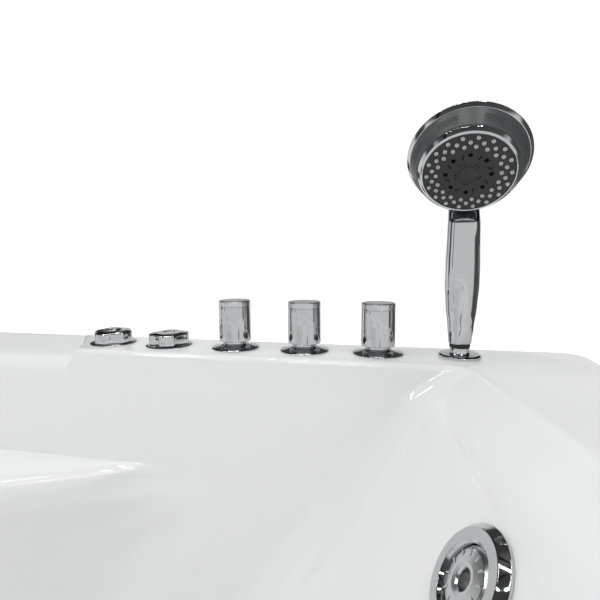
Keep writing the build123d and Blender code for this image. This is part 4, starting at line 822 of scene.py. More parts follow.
    def inward(self, index: int, point: Point) -> Vector:
        """The way into the basin at a column, for the armrests.

        Args:
            index: The column.
            point: The column's point.

        Returns:
            A unit vector in plan.
        """
        if self.front_count <= index < self.front_count + Columns.CURVE:
            return Vector((self.curve_x - point[0], self.curve_y - point[1])).normalized()
        return Vector((0.0, -1.0 if point[1] > 0 else 1.0))

    def arm_line(self, x: float, depth: float) -> float:
        """How far an armrest's edge stands from the tub's middle line.

        Args:
            x: The place along the tub.
            depth: Depth below the deck.

        Returns:
            The distance from the middle line, past the wall where there is no armrest.
        """
        widen = max(0.0, depth - self.arm_depth) * math.tan(math.radians(self.arm_draft))
        slope = math.tan(math.radians(self.arm_angle))
        wall = self.back - self.deck - self.arm_depth * math.tan(math.radians(self.draft))
        inner = wall - self.arm_width - widen
        reach = self.arm_corner * math.tan(math.radians(self.arm_angle) / 2)
        rise = 0.0
        run = self.arm_width / slope
        for start, way in ((self.arm_start + run, -1), (self.arm_end - run, 1)):
            past = (x - start) * way + reach
            if past > 2 * reach:
                rise = (past - reach) * slope
            elif past > 0:
                rise = self.arm_corner - math.sqrt(self.arm_corner**2 - past**2)
        return inner + rise

    def arm_excess(self, index: int, point: Point, depth: float, grow: float) -> float:
        """How far an armrest's edge stands into the basin from the wall, at a column.

        Args:
            index: The column.
            point: The wall's point there.
            depth: Depth below the deck.
            grow: How far the surface stands outside the basin's face.

        Returns:
            The signed distance, less than zero where the wall hides the armrest.
        """
        curve_last = self.front_count + Columns.CURVE
        back_first = curve_last + Columns.RIGHT + Columns.FAR_TURN
        if curve_last <= index < back_first or index >= back_first + Columns.BACK:
            return -1.0
        way = self.inward(index, point)
        reach = 0.0
        for _ in range(14):
            y = abs(point[1] + way.y * reach)
            reach += (y - grow - self.arm_line(point[0] + way.x * reach, depth)) * 0.8
            if abs(reach) > 0.3:
                return -1.0
        return reach

    def wall_row(self, depth: float, grow: float = 0.0, out: float = 0.0) -> list[Vector]:
        """A row of the basin's wall at one depth, with the armrests standing in from it.

        Args:
            depth: Depth below the deck.
            grow: How far the row lies outside the face and below it.
            out: An extra inset, as at the floor's rounding.

        Returns:
            One point for each column.
        """
        side = self.side_wall.inset(depth) + out - grow
        left_in = self.left_wall.inset(depth) + out - grow
        row = []
        for index, point in enumerate(self.basin_loop(depth, side, left_in)):
            place = Vector(point)
            if depth > self.arm_depth:
                excess = self.arm_excess(index, point, depth, grow)
                if excess > -0.05:
                    soft = (excess + math.sqrt(excess**2 + self.arm_soft**2)) / 2.0
                    place += self.inward(index, point) * soft
            row.append(Vector((place.x, place.y, self.rim - depth - grow)))
        return row

    def ledge_rows(self, grow: float = 0.0) -> list[list[Vector]]:
        """The armrests' flat tops and rolled edges; elsewhere these rows run down the wall.

        Args:
            grow: How far the rows lie outside the face and below it.

        Returns:
            The rows from the wall to the roll's foot.
        """
        rows = []
        flat, rolled = (0.0, 0.12, 0.3, 0.6, 0.85, 1.0), (15, 30, 45, 60, 75, 84)
        foot = self.arm_roll * (1 - math.cos(math.radians(self.arm_draft + 78)))
        steps = [("flat", share) for share in flat] + [("roll", angle) for angle in rolled]
        ledge = self.wall_row(self.arm_depth, grow)
        for number, (kind, value) in enumerate(steps):
            plain_depth = self.arm_depth + foot * number / (len(steps) - 1)
            side = self.side_wall.inset(plain_depth) - grow
            left_in = self.left_wall.inset(plain_depth) - grow
            row = []
            for index, point in enumerate(self.basin_loop(plain_depth, side, left_in)):
                top = ledge[index]
                excess = self.arm_excess(index, (top.x, top.y), self.arm_depth, grow)
                share = smooth_step(excess / self.arm_fade)
                plain = Vector((point[0], point[1], self.rim - plain_depth - grow))
                if share > 0.0:
                    roll = min(self.arm_roll, excess * 0.5)
                    if kind == "flat":
                        reach, down = (excess - roll) * value, -self.arm_sag * math.sin(math.pi * value)
                    else:
                        reach = excess - roll + roll * math.sin(math.radians(value))
                        down = roll * (1 - math.cos(math.radians(value)))
                    way = self.inward(index, point)
                    armed = Vector((top.x + way.x * reach, top.y + way.y * reach,
                                    self.rim - self.arm_depth - down - grow))
                    plain = plain.lerp(armed, share)
                row.append(plain)
            rows.append(row)
        return rows

    def recess_weight(self, number: int) -> float:
        """How far a front column lies in the recess, from 0 outside to 1 inside."""
        if number < Columns.NEAR:
            return 0.0
        x = self.front_xs[number - Columns.NEAR]
        inside = min(x - self.recess_start, self.recess_end - x)
        return smooth_step((inside + self.ramp) / (2 * self.ramp))

    def rim_rows(self) -> list[list[Vector]]:
        """The rolled inner edge of the deck, with the recess's larger roll, down to the plain wall.

        Returns:
            The rows.
        """
        common = self.plain_from
        plain = [point for point in self.side_wall.line if point[1] < common - 0.003]
        last = plain[-1][1]
        plain += [(self.side_wall.inset(depth), depth) for depth in
                  (blend(last, common, share) for share in (0.08, 0.2, 0.34, 0.5, 0.66, 0.83, 1.0))]
        sunk = [point for point in self.recess_line if point[1] < common - 0.003]
        foot = sunk[-1]
        while len(sunk) < len(plain):
            share = (len(sunk) - 8) / (len(plain) - 9)
            depth = blend(foot[1], common, share)
            sunk.append((depth * self.side_wall.inset(common) / common, depth))
        rows = []
        for (side, depth), (sunk_side, sunk_depth) in zip(plain, sunk):
            row = []
            loop = self.basin_loop(depth, side, self.left_wall.inset(depth))
            for index, (x, y) in enumerate(loop):
                z = -depth
                if index < self.front_count:
                    weight = self.recess_weight(index)
                    y += (sunk_side - side) * weight
                    z = -blend(depth, sunk_depth, weight)
                row.append(Vector((x, y, self.rim + z)))
            rows.append(row)
        return rows

    def deck_rows(self, first_rim: list[Vector]) -> list[list[Vector]]:
        """The lip's face, the deck's rolled outer edge and the deck's top.

        Args:
            first_rim: The row where the rolled inner edge starts.

        Returns:
            The rows from the lip's foot inwards.
        """
        rows = []
        for inset, down in ((self.lip_edge, self.lip), (0.0, self.lip - self.lip_edge), (0.0, 0.02)):
            rows.append([Vector((x, y, self.rim - down)) for x, y in self.outer_loop(inset)])
        slope = self.recess_drop / (self.deck + self.rim_roll)
        for step in range(8):
            angle = math.radians(90 * step / 7)
            inset = self.edge_roll * (1 - math.cos(angle))
            down = self.edge_roll * (1 - math.sin(angle))
            rows.append([Vector((x, y, self.rim - down)) for x, y in self.outer_loop(inset)])
        start = self.outer_loop(self.edge_roll)
        for share in (0.08, 0.25, 0.45, 0.65, 0.85):
            row = []
            for (x, y), inner in zip(start, first_rim):
                place = Vector((x, y)).lerp(inner.xy, share)
                row.append(Vector((place.x, place.y, self.rim)))
            rows.append(row)
        for row in rows[2:]:
            for index in range(self.front_count):
                row[index].z -= slope * (row[index].y - self.front) * self.recess_weight(index)
        return rows

    def under_rows(self) -> list[list[Vector]]:
        """The shell's underside, from the floor out to the lip's inner face.

        Returns:
            The rows, from the middle of the floor outwards.
        """
        rows = []
        rows += self.floor_rows(self.wall)[::-1]
        rows += [self.wall_row(depth, self.wall) for depth in self.under_depths]
        rows += self.ledge_rows(self.wall)[::-1][::2]
        rows += [self.wall_row(depth, self.wall) for depth in self.under_rim]
        top = rows[-1]
        for share in (0.5, 1.0):
            rows.append([place.lerp(Vector((x, y, place.z)), share)
                         for place, (x, y) in zip(top, self.outer_loop(self.wall))])
        for row in rows[-5:]:
            for index in range(self.front_count):
                row[index].z -= self.recess_drop * self.recess_weight(index)
        low = self.rim - self.lip
        for inset, z in ((self.wall, low + self.lip_edge), (self.wall - self.lip_edge, low)):
            rows.append([Vector((x, y, z)) for x, y in self.outer_loop(inset)])
        return rows

    def floor_rows(self, grow: float = 0.0) -> list[list[Vector]]:
        """The rounding into the floor and the floor itself.

        Args:
            grow: How far the rows lie outside the face and below it.

        Returns:
            The rows from the wall to the middle of the floor.
        """
        rows = []
        for angle in (0, 12, 24, 36, 48, 60, 72, 82, 90):
            depth = self.depth - self.floor_rise * (1 - math.sin(math.radians(angle)))
            rows.append(self.wall_row(depth, grow, self.floor_run * (1 - math.cos(math.radians(angle)))))
        middle = Vector((0.1, 0.0, rows[-1][0].z))
        for share in (0.03, 0.15, 0.45, 0.8):
            rows.append([place.lerp(Vector((blend(place.x, middle.x, 0.6), 0.0, middle.z)), share)
                         for place in rows[8]])
        return rows

    def rows(self) -> list[list[Vector]]:
        """Every row of the closed shell, from the floor's underside out round the lip and back in.

        Returns:
            The rows.
        """
        rim = self.rim_rows()
        every = self.under_rows() + self.deck_rows(rim[0]) + rim
        every += [self.wall_row(depth) for depth in self.upper_depths]
        every += self.ledge_rows()
        every += [self.wall_row(depth) for depth in self.lower_depths]
        return every + self.floor_rows()

    def build(self) -> bpy.types.Object:
        """Builds the shell: one loop of edges, extruded from row to row, then the holes.

        Returns:
            The shell.
        """
        rows = self.rows()
        bm = bmesh.new()
        ring = first_ring(bm, len(rows[0]))
        for vert, place in zip(ring, rows[0]):
            vert.co = place
        bm.faces.new(ring)
        for row in rows[1:]:
            ring = next_ring(bm, ring)
            for vert, place in zip(ring, row):
                vert.co = place
        bm.faces.new(ring)
        piece = publish(bm, "tub_shell_form", WHITE_GELCOAT, Carrier.TUB, ["tub_shell"], 40.0)
        self.drill(piece)
        return piece

    def drill(self, piece: bpy.types.Object) -> None:
        """Cuts the fittings' holes through the shell.

        Args:
            piece: The shell.
        """
        bm = bmesh.new()
        for place, radius, length in self.holes:
            bmesh.ops.create_cone(bm, cap_ends=True, segments=48, radius1=radius, radius2=radius,
                                  depth=length, matrix=place)
        mesh = bpy.data.meshes.new("hole_cutter")
        bm.to_mesh(mesh)
        bm.free()
        cutter = bpy.data.objects.new("hole_cutter", mesh)
        bpy.context.scene.collection.objects.link(cutter)
        cut = piece.modifiers.new("holes", "BOOLEAN")
        cut.object, cut.operation, cut.solver = cutter, "DIFFERENCE", "EXACT"
        graph = bpy.context.evaluated_depsgraph_get()
        drilled = bpy.data.meshes.new_from_object(piece.evaluated_get(graph))
        piece.modifiers.clear()
        old = piece.data
        piece.data = drilled
        drilled.name = "tub_shell_form"
        drilled.shade_smooth()
        drilled.set_sharp_from_angle(angle=math.radians(40.0))
        bpy.data.objects.remove(cutter)
        bpy.data.meshes.remove(old)
        log.info("tub_shell_form: %d faces once drilled", len(drilled.polygons))


@dataclass
class DeckRow:
    """The deck fittings' shared places: one line of holes along the front deck."""

    y: float = -0.559
    deck: float = 0.6
    tall: tuple[tuple[str, float, Carrier], ...] = (
        ("hot", -0.6947, Carrier.HOT), ("diverter", -0.618, Carrier.DIVERTER),
        ("cold", -0.5409, Carrier.COLD))
    air_x: float = -0.4617
    switch_x: float = -0.3909
    shower_x: float = -0.7742
    hole_r: float = 0.0162

    def place(self, x: float, turn: float = 0.0) -> Matrix:
        """Where a fitting stands.

        Args:
            x: Its place along the deck.
            turn: Its turn about its own axis in degrees.

        Returns:
            The fitting's matrix, with its origin on the deck.
        """
        return Matrix.Translation((x, self.y, self.deck)) @ Matrix.Rotation(math.radians(turn), 4, "Z")

    def holes(self) -> list[tuple[Matrix, float, float]]:
        """The deck's holes for every fitting."""
        xs = [x for _, x, _ in self.tall] + [self.air_x, self.switch_x, self.shower_x]
        return [(self.place(x), self.hole_r, 0.05) for x in xs]


@dataclass
class TallHandles:
    """Three turning handles on coned flanges: a bright barrel, a satin band and a dished cap whose darkened
    chrome is a painted dark reflection.
    """

    row: DeckRow
    flange_r: float = 0.026
    neck_r: float = 0.0122
    bottom: float = 0.0088
    top: float = 0.0524
    bottom_r: float = 0.0175
    top_r: float = 0.0171
    band: float = 0.0055
    turns: tuple[float, ...] = (0.0, 0.0, 0.0)

    def flanges(self) -> bpy.types.Object:
        """Builds the three flanges with their necks.

        Returns:
            The flanges.
        """
        outline = rounded([
            (0.0053, 0.0, 0.0), (self.flange_r, 0.0, 0.0002), (self.flange_r, 0.0014, 0.0006),
            (self.flange_r - 0.0016, 0.0021, 0.0008), (self.neck_r + 0.0035, 0.0038, 0.0012),
            (self.neck_r, 0.0058, 0.0015), (self.neck_r, 0.0085, 0.0003), (0.0053, 0.0085, 0.0)])
        bm = bmesh.new()
        for _, x, _ in self.row.tall:
            turn_form(bm, outline, self.row.place(x), ring=True)
        return publish(bm, "handle_flanges_form", BRIGHT_CHROME, Carrier.TUB, ["handle_flanges"])

    def build(self) -> None:
        """Builds the flanges and every handle's barrel, band and cap."""
        self.flanges()
        low = self.top - self.band
        barrel = rounded([
            (0.0053, self.bottom, 0.0), (self.bottom_r, self.bottom, 0.0009),
            (self.top_r, low - 0.0005, 0.0003), (self.top_r - 0.0006, low - 0.0005, 0.0),
            (self.top_r - 0.0006, low, 0.0), (0.0053, low, 0.0)])
        band = rounded([
            (0.0053, low + 0.00005, 0.0), (self.top_r + 0.0001, low + 0.00005, 0.0002),
            (self.top_r + 0.0001, self.top - 0.0002, 0.0008), (self.top_r - 0.0012, self.top, 0.0002),
            (self.top_r - 0.0014, self.top - 0.0004, 0.0), (0.0053, self.top - 0.0004, 0.0)])
        cap = rounded([
            (0.0, self.top - 0.0012, 0.0), (self.top_r - 0.0014, self.top - 0.0012, 0.0),
            (self.top_r - 0.0014, self.top - 0.0004, 0.0002), (self.top_r - 0.0024, self.top, 0.0004),
            (0.0, self.top + 0.0002, 0.0)])
        for (name, x, carrier), turn in zip(self.row.tall, self.turns):
            place = self.row.place(x, turn)
            bm = bmesh.new()
            turn_form(bm, barrel, place, 128, ring=True)
            publish(bm, f"{name}_barrel", BRIGHT_CHROME, carrier, [f"{name}_handle"])
            bm = bmesh.new()
            turn_form(bm, band, place, 128, ring=True)
            publish(bm, f"{name}_band", SATIN_CHROME, carrier)
            bm = bmesh.new()
            turn_form(bm, cap, place, 128)
            # The cap's darkened chrome is a painted dark reflection.
            publish(bm, f"{name}_cap", CAP_CHROME_PAINTED_REFLECTION, carrier)


@dataclass
class LowKnobs:
    """The air control and the air switch: low scooped knobs on thin coned flanges."""

    row: DeckRow
    flange_r: float = 0.0256
    knob_r: float = 0.022
    top: float = 0.015
    scoop_r: float = 0.026
    scoop_depth: float = 0.0034
    scoops: int = 4
    button_r: float = 0.0095

    def scooped(self, bm: bmesh.types.BMesh, outline: Sequence[Point], place: Matrix) -> None:
        """Turns a knob and draws its side in at the finger scoops.

        Args:
            bm: The mesh to add to.
            outline: The knob's outline.
            place: Where it stands.
        """
        verts = turn_form(bm, outline, Matrix.Identity(4), 192)
        centre = self.knob_r + self.scoop_r - self.scoop_depth
        for vert in verts:
            radius = vert.co.xy.length
            if radius < 1e-6:
                continue
            angle = math.atan2(vert.co.y, vert.co.x)
            off = math.remainder(angle - math.radians(45.0), math.tau / self.scoops)
            inner = (centre * math.sin(off)) ** 2
            if inner >= self.scoop_r**2:
                continue
            limit = centre * math.cos(off) - math.sqrt(self.scoop_r**2 - inner)
            if limit < self.knob_r:
                share = smooth_step((radius - 0.011) / (self.knob_r - 0.011))
                factor = blend(1.0, limit / self.knob_r, share)
                vert.co.x *= factor
                vert.co.y *= factor
        bmesh.ops.transform(bm, matrix=place, verts=verts)

    def build(self) -> None:
        """Builds the flanges, both knobs and the switch's button."""
        flange = rounded([
            (0.0063, 0.0, 0.0), (self.flange_r, 0.0, 0.0002), (self.flange_r, 0.0011, 0.0005),
            (self.flange_r - 0.0018, 0.0017, 0.0006), (0.019, 0.0022, 0.0005), (0.0063, 0.0022, 0.0)])
        bm = bmesh.new()
        for x in (self.row.air_x, self.row.switch_x):
            turn_form(bm, flange, self.row.place(x), ring=True)
        publish(bm, "low_flanges_form", BRIGHT_CHROME, Carrier.TUB, ["low_flanges"])
        solid = rounded([
            (0.0, 0.0024, 0.0), (self.knob_r, 0.0024, 0.0008), (self.knob_r, self.top - 0.001, 0.0024),
            (self.knob_r - 0.007, self.top, 0.003), (0.0065, self.top + 0.0003, 0.0004),
            (0.006, self.top - 0.0003, 0.0003), (0.0, self.top - 0.0003, 0.0)])
        bm = bmesh.new()
        self.scooped(bm, solid, self.row.place(self.row.air_x, 20.0))
        publish(bm, "air_control_form", BRIGHT_CHROME, Carrier.AIR, ["air_control_knob"])
        collar = rounded([
            (self.button_r + 0.0003, 0.0021, 0.0), (self.knob_r, 0.0021, 0.0008),
            (self.knob_r, self.top - 0.001, 0.0024), (self.knob_r - 0.006, self.top + 0.0002, 0.002),
            (self.button_r + 0.0003, self.top + 0.0006, 0.0004)])
        bm = bmesh.new()
        self.scooped(bm, collar + [collar[0]], self.row.place(self.row.switch_x, -8.0))
        publish(bm, "switch_collar_form", BRIGHT_CHROME, Carrier.TUB, ["switch_bezel"])
        button = rounded([
            (0.0, 0.006, 0.0), (self.button_r, 0.006, 0.0003), (self.button_r, 0.0166, 0.0009),
            (self.button_r - 0.003, 0.0172, 0.0012), (0.0, 0.0168, 0.0)])
        bm = bmesh.new()
        turn_form(bm, button, self.row.place(self.row.switch_x))
        publish(bm, "switch_button_form", BRIGHT_CHROME, Carrier.SWITCH, ["switch_button"])


@dataclass
class HandShower:
    """The hand shower in its holder: flange, gasket, faceted grip and three-spray head."""

    row: DeckRow
    forward_by: float = 0.044
    head_z: float = 0.1694
    tilt: float = 43.0
    turn: float = 6.0
    depth: float = 0.0245
    ring_r: float = 0.0523
    plate_r: float = 0.0376
    gasket_top: float = 0.0136
    nozzle_radii: tuple[float, float, float] = (0.0263, 0.0301, 0.0342)

    def __post_init__(self) -> None:
        """Works out the head's place."""
        turn, tilt = math.radians(self.turn), math.radians(self.tilt)
        self.forward = Vector((math.sin(turn), math.cos(turn), 0.0))
        self.sideways = Vector((math.cos(turn), -math.sin(turn), 0.0))
        self.normal = self.forward * math.cos(tilt) - Vector((0.0, 0.0, math.sin(tilt)))
        self.foot = Vector((self.row.shower_x, self.row.y, self.row.deck))
        self.centre = self.foot + self.forward * self.forward_by + Vector((0.0, 0.0, self.head_z))
        up = self.normal.cross(self.sideways)
        self.head = Matrix.Translation(self.centre) @ Matrix(
            (self.sideways, up, self.normal)).transposed().to_4x4()

    def holder(self) -> None:
        """Builds the holder's flange and neck, and the gasket."""
        outline = rounded([
            (0.007, -0.07, 0.0), (0.011, -0.07, 0.0005), (0.011, -0.0225, 0.0), (0.0158, -0.0225, 0.0),
            (0.0158, 0.0, 0.0), (0.0201, 0.0, 0.0002), (0.0203, 0.0025, 0.0008), (0.0186, 0.0036, 0.0009),
            (0.0101, 0.0036, 0.0005), (0.0093, 0.0045, 0.0004), (0.0093, 0.01, 0.0005), (0.007, 0.01, 0.0)])
        bm = bmesh.new()
        turn_form(bm, outline, self.row.place(self.row.shower_x), ring=True)
        publish(bm, "shower_holder_form", BRIGHT_CHROME, Carrier.TUB, ["shower_holder"])
        gasket = rounded([
            (0.007, 0.01, 0.0), (0.0098, 0.01, 0.0006), (0.0098, 0.0136, 0.0006), (0.007, 0.0136, 0.0)])
        bm = bmesh.new()
        turn_form(bm, gasket, self.row.place(self.row.shower_x), ring=True)
        publish(bm, "shower_gasket_form", GASKET_BLACK, Carrier.TUB, ["shower_gasket"])

    def grip_width(self, z: float) -> float:
        """The grip's width at a height above the deck."""
        spots = ((0.0136, 0.0215), (0.03, 0.0245), (0.05, 0.0292), (0.071, 0.0318), (0.09, 0.0318),
                 (0.115, 0.0302), (0.144, 0.0288), (0.17, 0.029))
        for (low, first), (high, last) in zip(spots, spots[1:]):
            if z <= high:
                share = (z - low) / (high - low)
                return blend(first, last, smooth_step(share) * 0.5 + share * 0.5)
        return spots[-1][1]

    def crease(self, z: float) -> float:
        """Where the leaf-shaped front panel ends at a height, as a share of half the grip's width."""
        spots = ((0.0136, -0.1), (0.026, 0.2), (0.05, 0.42), (0.075, 0.36), (0.098, 0.2), (0.108, 0.16),
                 (0.113, 0.3), (0.127, 0.95))
        for (low, first), (high, last) in zip(spots, spots[1:]):
            if z <= high:
                return blend(first, last, (z - low) / (high - low))
        return 1.2

    def grip(self) -> None:
        """Builds the grip: rings drawn up a bent axis, with a leaf-shaped front panel and a side flute."""
        rings, around = 76, 96
        bm = bmesh.new()
        ring = first_ring(bm, around, capped=True)
        for level in range(rings + 1):
            if level:
                ring = next_ring(bm, ring)
            share = level / rings
            z = blend(self.gasket_top + 0.0003, 0.168, share)
            back = -0.030 * smooth_step((z - 0.13) / 0.03)
            lean = Matrix.Rotation(math.radians(18.0 * smooth_step((z - 0.12) / 0.06)), 3, self.sideways)
            origin = self.foot + self.forward * back + Vector((0.0, 0.0, z))
            half = self.grip_width(z) / 2.0
            for index, vert in enumerate(ring):
                angle = -math.pi + math.tau * index / around
                vert.co = origin + lean @ self.grip_spoke(angle, z, half)
        bm.faces.new(ring)
        spigot = rounded([
            (0.0, -0.0085, 0.0), (0.0066, -0.0085, 0.0006), (0.0066, self.gasket_top + 0.0006, 0.0),
            (0.0, self.gasket_top + 0.0006, 0.0)])
        turn_form(bm, spigot, self.row.place(self.row.shower_x), 48)
        publish(bm, "shower_grip_form", BRIGHT_CHROME, Carrier.SHOWER, ["shower_grip"], 24.0)

    def grip_spoke(self, angle: float, z: float, half: float) -> Vector:
        """One point of a grip's ring.

        Args:
            angle: Its direction, 0 sideways and a quarter turn to the front.
            z: Its height above the deck.
            half: Half the grip's width there.

        Returns:
            The point from the ring's middle.
        """
        side, front = math.cos(angle), math.sin(angle)
        power = 2.35
        scale = (abs(side) ** power + abs(front) ** power) ** (-1.0 / power)
        across, deep = side * scale * half, front * scale * half * 0.8
        if front > 0.0:
            deep -= 0.24 * max(0.0, -across - half * self.crease(z)) * smooth_step(front / 0.5)
        along = min(1.0, max(0.0, (z - 0.03) / 0.115))
        flute = math.exp(-((angle - math.pi + 0.24) / 0.15) ** 2) * math.sin(math.pi * along)
        across += 0.0016 * max(0.0, flute)
        return self.sideways * across + self.forward * deep

    def shell(self) -> None:
        """Builds the head's domed back with its bright outer ring."""
        back = -self.depth
        outline = rounded([
            (0.0, back - 0.013, 0.0), (0.02, back - 0.0121, 0.03), (0.038, back - 0.0075, 0.03),
            (self.ring_r - 0.0025, back - 0.0004, 0.004), (self.ring_r, back + 0.0012, 0.0008),
            (self.ring_r - 0.0002, back + 0.0019, 0.0005), (self.ring_r - 0.0026, back + 0.0053, 0.0003),
            (0.0263, back + 0.0052, 0.0), (0.0263, -0.0082, 0.0), (0.0, -0.0082, 0.0)])
        bm = bmesh.new()
        turn_form(bm, outline, self.head, 144)
        publish(bm, "shower_head_form", BRIGHT_CHROME, Carrier.SHOWER, ["shower_head_shell"])

    def selector(self) -> None:
        """Builds the wide satin band that turns to pick a spray, with its patches of grip dots."""
        back, front = -self.depth + 0.0055, -self.depth + 0.0202
        outline = rounded([
            (0.0268, back, 0.0), (0.0494, back, 0.0003), (0.0486, back + 0.0018, 0.0006),
            (0.0432, front - 0.0006, 0.0006), (0.0425, front, 0.0), (0.0268, front, 0.0)])
        bm = bmesh.new()
        turn_form(bm, outline, self.head, 144, ring=True)
        low, high = Vector((0.0477, back + 0.0042)), Vector((0.0441, front - 0.0031))
        slope = Vector((high.y - low.y, low.x - high.x)).normalized()
        for patch in range(8):
            for across in range(-4, 5):
                for line in range(5):
                    share = (line + 0.5) / 5
                    spot = low.lerp(high, share)
                    angle = math.tau * (patch + 0.5) / 8 + math.radians(2.3 * (across + 0.5 * (line % 2)))
                    out = Matrix.Rotation(angle, 4, "Z") @ Matrix.Translation((spot.x, 0.0, spot.y))
                    aim = Vector((slope.x, 0.0, slope.y)).to_track_quat("Z", "Y").to_matrix().to_4x4()
                    bmesh.ops.create_uvsphere(bm, u_segments=8, v_segments=4, radius=0.00074,
                                              matrix=self.head @ out @ aim @ Matrix.Diagonal((1, 1, 0.75, 1)))
        publish(bm, "spray_selector_form", GREY_SATIN, Carrier.SPRAY, ["spray_selector"])

    def face(self) -> None:
        """Builds the bevelled ring, the dark plate with its centre cap, black discs of painted shade where
        its holes are, and the nozzles.
        """
        start = -self.depth + 0.0203
        outline = rounded([
            (0.0268, start, 0.0), (0.0421, start, 0.0003), (0.0418, start + 0.0006, 0.0004),
            (0.0397, -0.0004, 0.0004), (0.0384, 0.0006, 0.0003), (0.0376, 0.0002, 0.0002),
            (0.0376, -0.003, 0.0), (0.0268, -0.003, 0.0)])
        bm = bmesh.new()
        turn_form(bm, outline, self.head, 144, ring=True)
        publish(bm, "spray_bezel_form", BRIGHT_CHROME, Carrier.SPRAY, ["spray_bezel"])
        plate = rounded([
            (0.0, -0.003, 0.0), (0.0375, -0.003, 0.0), (0.0375, -0.0002, 0.0002), (0.0366, 0.0, 0.0003),
            (0.0082, 0.0, 0.0), (0.0081, -0.0003, 0.0), (0.0077, -0.0003, 0.0), (0.0076, 0.0001, 0.0002),
            (0.0, 0.0004, 0.0)])
        bm = bmesh.new()
        turn_form(bm, plate, self.head, 144)
        publish(bm, "spray_plate_form", PLATE_DARK, Carrier.SPRAY, ["spray_plate"])
        bm = bmesh.new()
        pair = math.radians(9.0)
        spots = [(0.0184, math.tau * (index - 0.055) / 8, 0.0019) for index in range(8)]
        for index in range(8):
            middle = math.tau * (index + 0.445) / 8
            spots += [(0.0183, middle - pair * 0.55, 0.0008), (0.0163, middle - pair * 0.2, 0.0008)]
        for index in range(5):
            middle = math.tau * (index + 0.16) / 5
            spots += [(0.0102, middle - pair * 0.9, 0.0007), (0.0108, middle + pair * 0.9, 0.0007)]
        # Each spot is a thin near-black disc on the plate: painted shade inside a spray hole.
        for radius, angle, size in spots:
            place = self.head @ Matrix.Rotation(angle, 4, "Z") @ Matrix.Translation((radius, 0.0, 0.0))
            bmesh.ops.create_cone(bm, cap_ends=True, segments=24, radius1=size, radius2=size * 0.96,
                                  depth=0.0004, matrix=place @ Matrix.Translation((0.0, 0.0, 0.0)))
        publish(bm, "spray_hole_shade_form", HOLE_SHADE_BLACK, Carrier.SPRAY)
        self.nozzles()

    def nozzles(self) -> None:
        """Builds the 54 soft nozzles in three staggered rings, and a near-black disc of painted shade in each
        nozzle's bore.
        """
        outline = rounded([
            (0.0, -0.0004, 0.0), (0.0017, -0.0004, 0.0), (0.00172, 0.0003, 0.0), (0.0013, 0.0013, 0.0004),
            (0.0005, 0.0014, 0.0), (0.0004, 0.0010, 0.0), (0.0, 0.0010, 0.0)], 3)
        bm = bmesh.new()
        bore_shades = bmesh.new()
        for ring, radius in enumerate(self.nozzle_radii):
            for index in range(18):
                angle = math.tau * (index + 0.5 * ring) / 18
                place = self.head @ Matrix.Rotation(angle, 4, "Z") @ Matrix.Translation((radius, 0.0, 0.0))
                turn_form(bm, outline, place, 16)
                # A near-black disc in the nozzle's tip: painted shade inside its bore.
                bmesh.ops.create_circle(bore_shades, cap_ends=True, segments=12, radius=0.00042,
                                        matrix=place @ Matrix.Translation((0.0, 0.0, 0.00108)))
        publish(bm, "spray_nozzles_form", NOZZLE_GREY, Carrier.SPRAY, ["spray_nozzles"])
        publish(bore_shades, "nozzle_bore_shade_form", HOLE_SHADE_BLACK, Carrier.SPRAY)

    def build(self) -> None:
        """Builds the holder, the grip and the head."""
        self.holder()
        self.grip()
        self.shell()
        self.selector()
        self.face()


def facing(origin: Vector, normal: Vector, across: Vector) -> Matrix:
    """A matrix with its Z along a normal and its X along a given way.

    Args:
        origin: The matrix's origin.
        normal: Its Z.
        across: Its X, square to the normal.

    Returns:
        The matrix.
    """
    normal = normal.normalized()
    across = (across - normal * across.dot(normal)).normalized()
    return Matrix.Translation(origin) @ Matrix((across, normal.cross(across), normal)).transposed().to_4x4()


@dataclass
class Jets:
    """Six wall jets: four in the armrests' faces and two in the leaning end."""

    ring_r: float = 0.031
    ring_t: float = 0.006
    eye_r: float = 0.0185
    body_hole: float = 0.022

    def __post_init__(self) -> None:
        """Reads each jet's place from its joint."""
        self.places = []
        for number in range(1, 7):
            origin, normal = joint_place(f"jet_{number}_turn")
            self.places.append(facing(origin, normal, Vector((0.0, 0.0, 1.0)).cross(normal)))

    def holes(self) -> list[tuple[Matrix, float, float]]:
        """The wall's holes for the jets."""
        return [(place, self.body_hole, 0.06) for place in self.places]

    def build(self) -> None:
        """Builds the rings and the turning eyes."""
        edge = self.eye_r + 0.0003
        ring = rounded([
            (edge, 0.0003, 0.0), (self.ring_r, 0.0003, 0.0003), (self.ring_r, 0.0019, 0.0009),
            (self.ring_r - 0.0042, self.ring_t, 0.0014), (edge + 0.0016, self.ring_t, 0.0008),
            (edge, self.ring_t - 0.0016, 0.0003)])
        bm = bmesh.new()
        for place in self.places:
            turn_form(bm, ring, place, 96, ring=True)
        publish(bm, "jet_rings_form", BRIGHT_CHROME, Carrier.TUB, ["jet_rings"])
        eye = rounded([
            (0.0, -0.014, 0.0), (self.eye_r - 0.001, -0.014, 0.0005), (self.eye_r, -0.012, 0.0005),
            (self.eye_r, 0.0022, 0.0006), (self.eye_r - 0.003, 0.0044, 0.002), (0.0086, 0.0058, 0.0012),
            (0.0062, 0.0052, 0.0005), (0.0055, 0.0038, 0.0004), (0.0052, -0.004, 0.0), (0.0, -0.004, 0.0)])
        for number, place in enumerate(self.places, 1):
            bm = bmesh.new()
            turn_form(bm, eye, place, 72)
            for index in range(12):
                spoke = (place @ Matrix.Rotation(math.tau * index / 12, 4, "Z")
                         @ Matrix.Translation((0.0136, 0.0, 0.0048))
                         @ Matrix.Diagonal((0.0042, 0.0011, 0.0012, 1)))
                made = bmesh.ops.create_cube(bm, size=1.0, matrix=spoke)
                edges = list({edge for vert in made["verts"] for edge in vert.link_edges})
                bmesh.ops.bevel(bm, geom=edges, offset=0.0003, segments=2, profile=0.5, affect="EDGES",
                                material=-1)
            publish(bm, f"jet_eye_{number}", SATIN_CHROME, JET_CARRIERS[number], [f"jet_nozzle_{number}"])


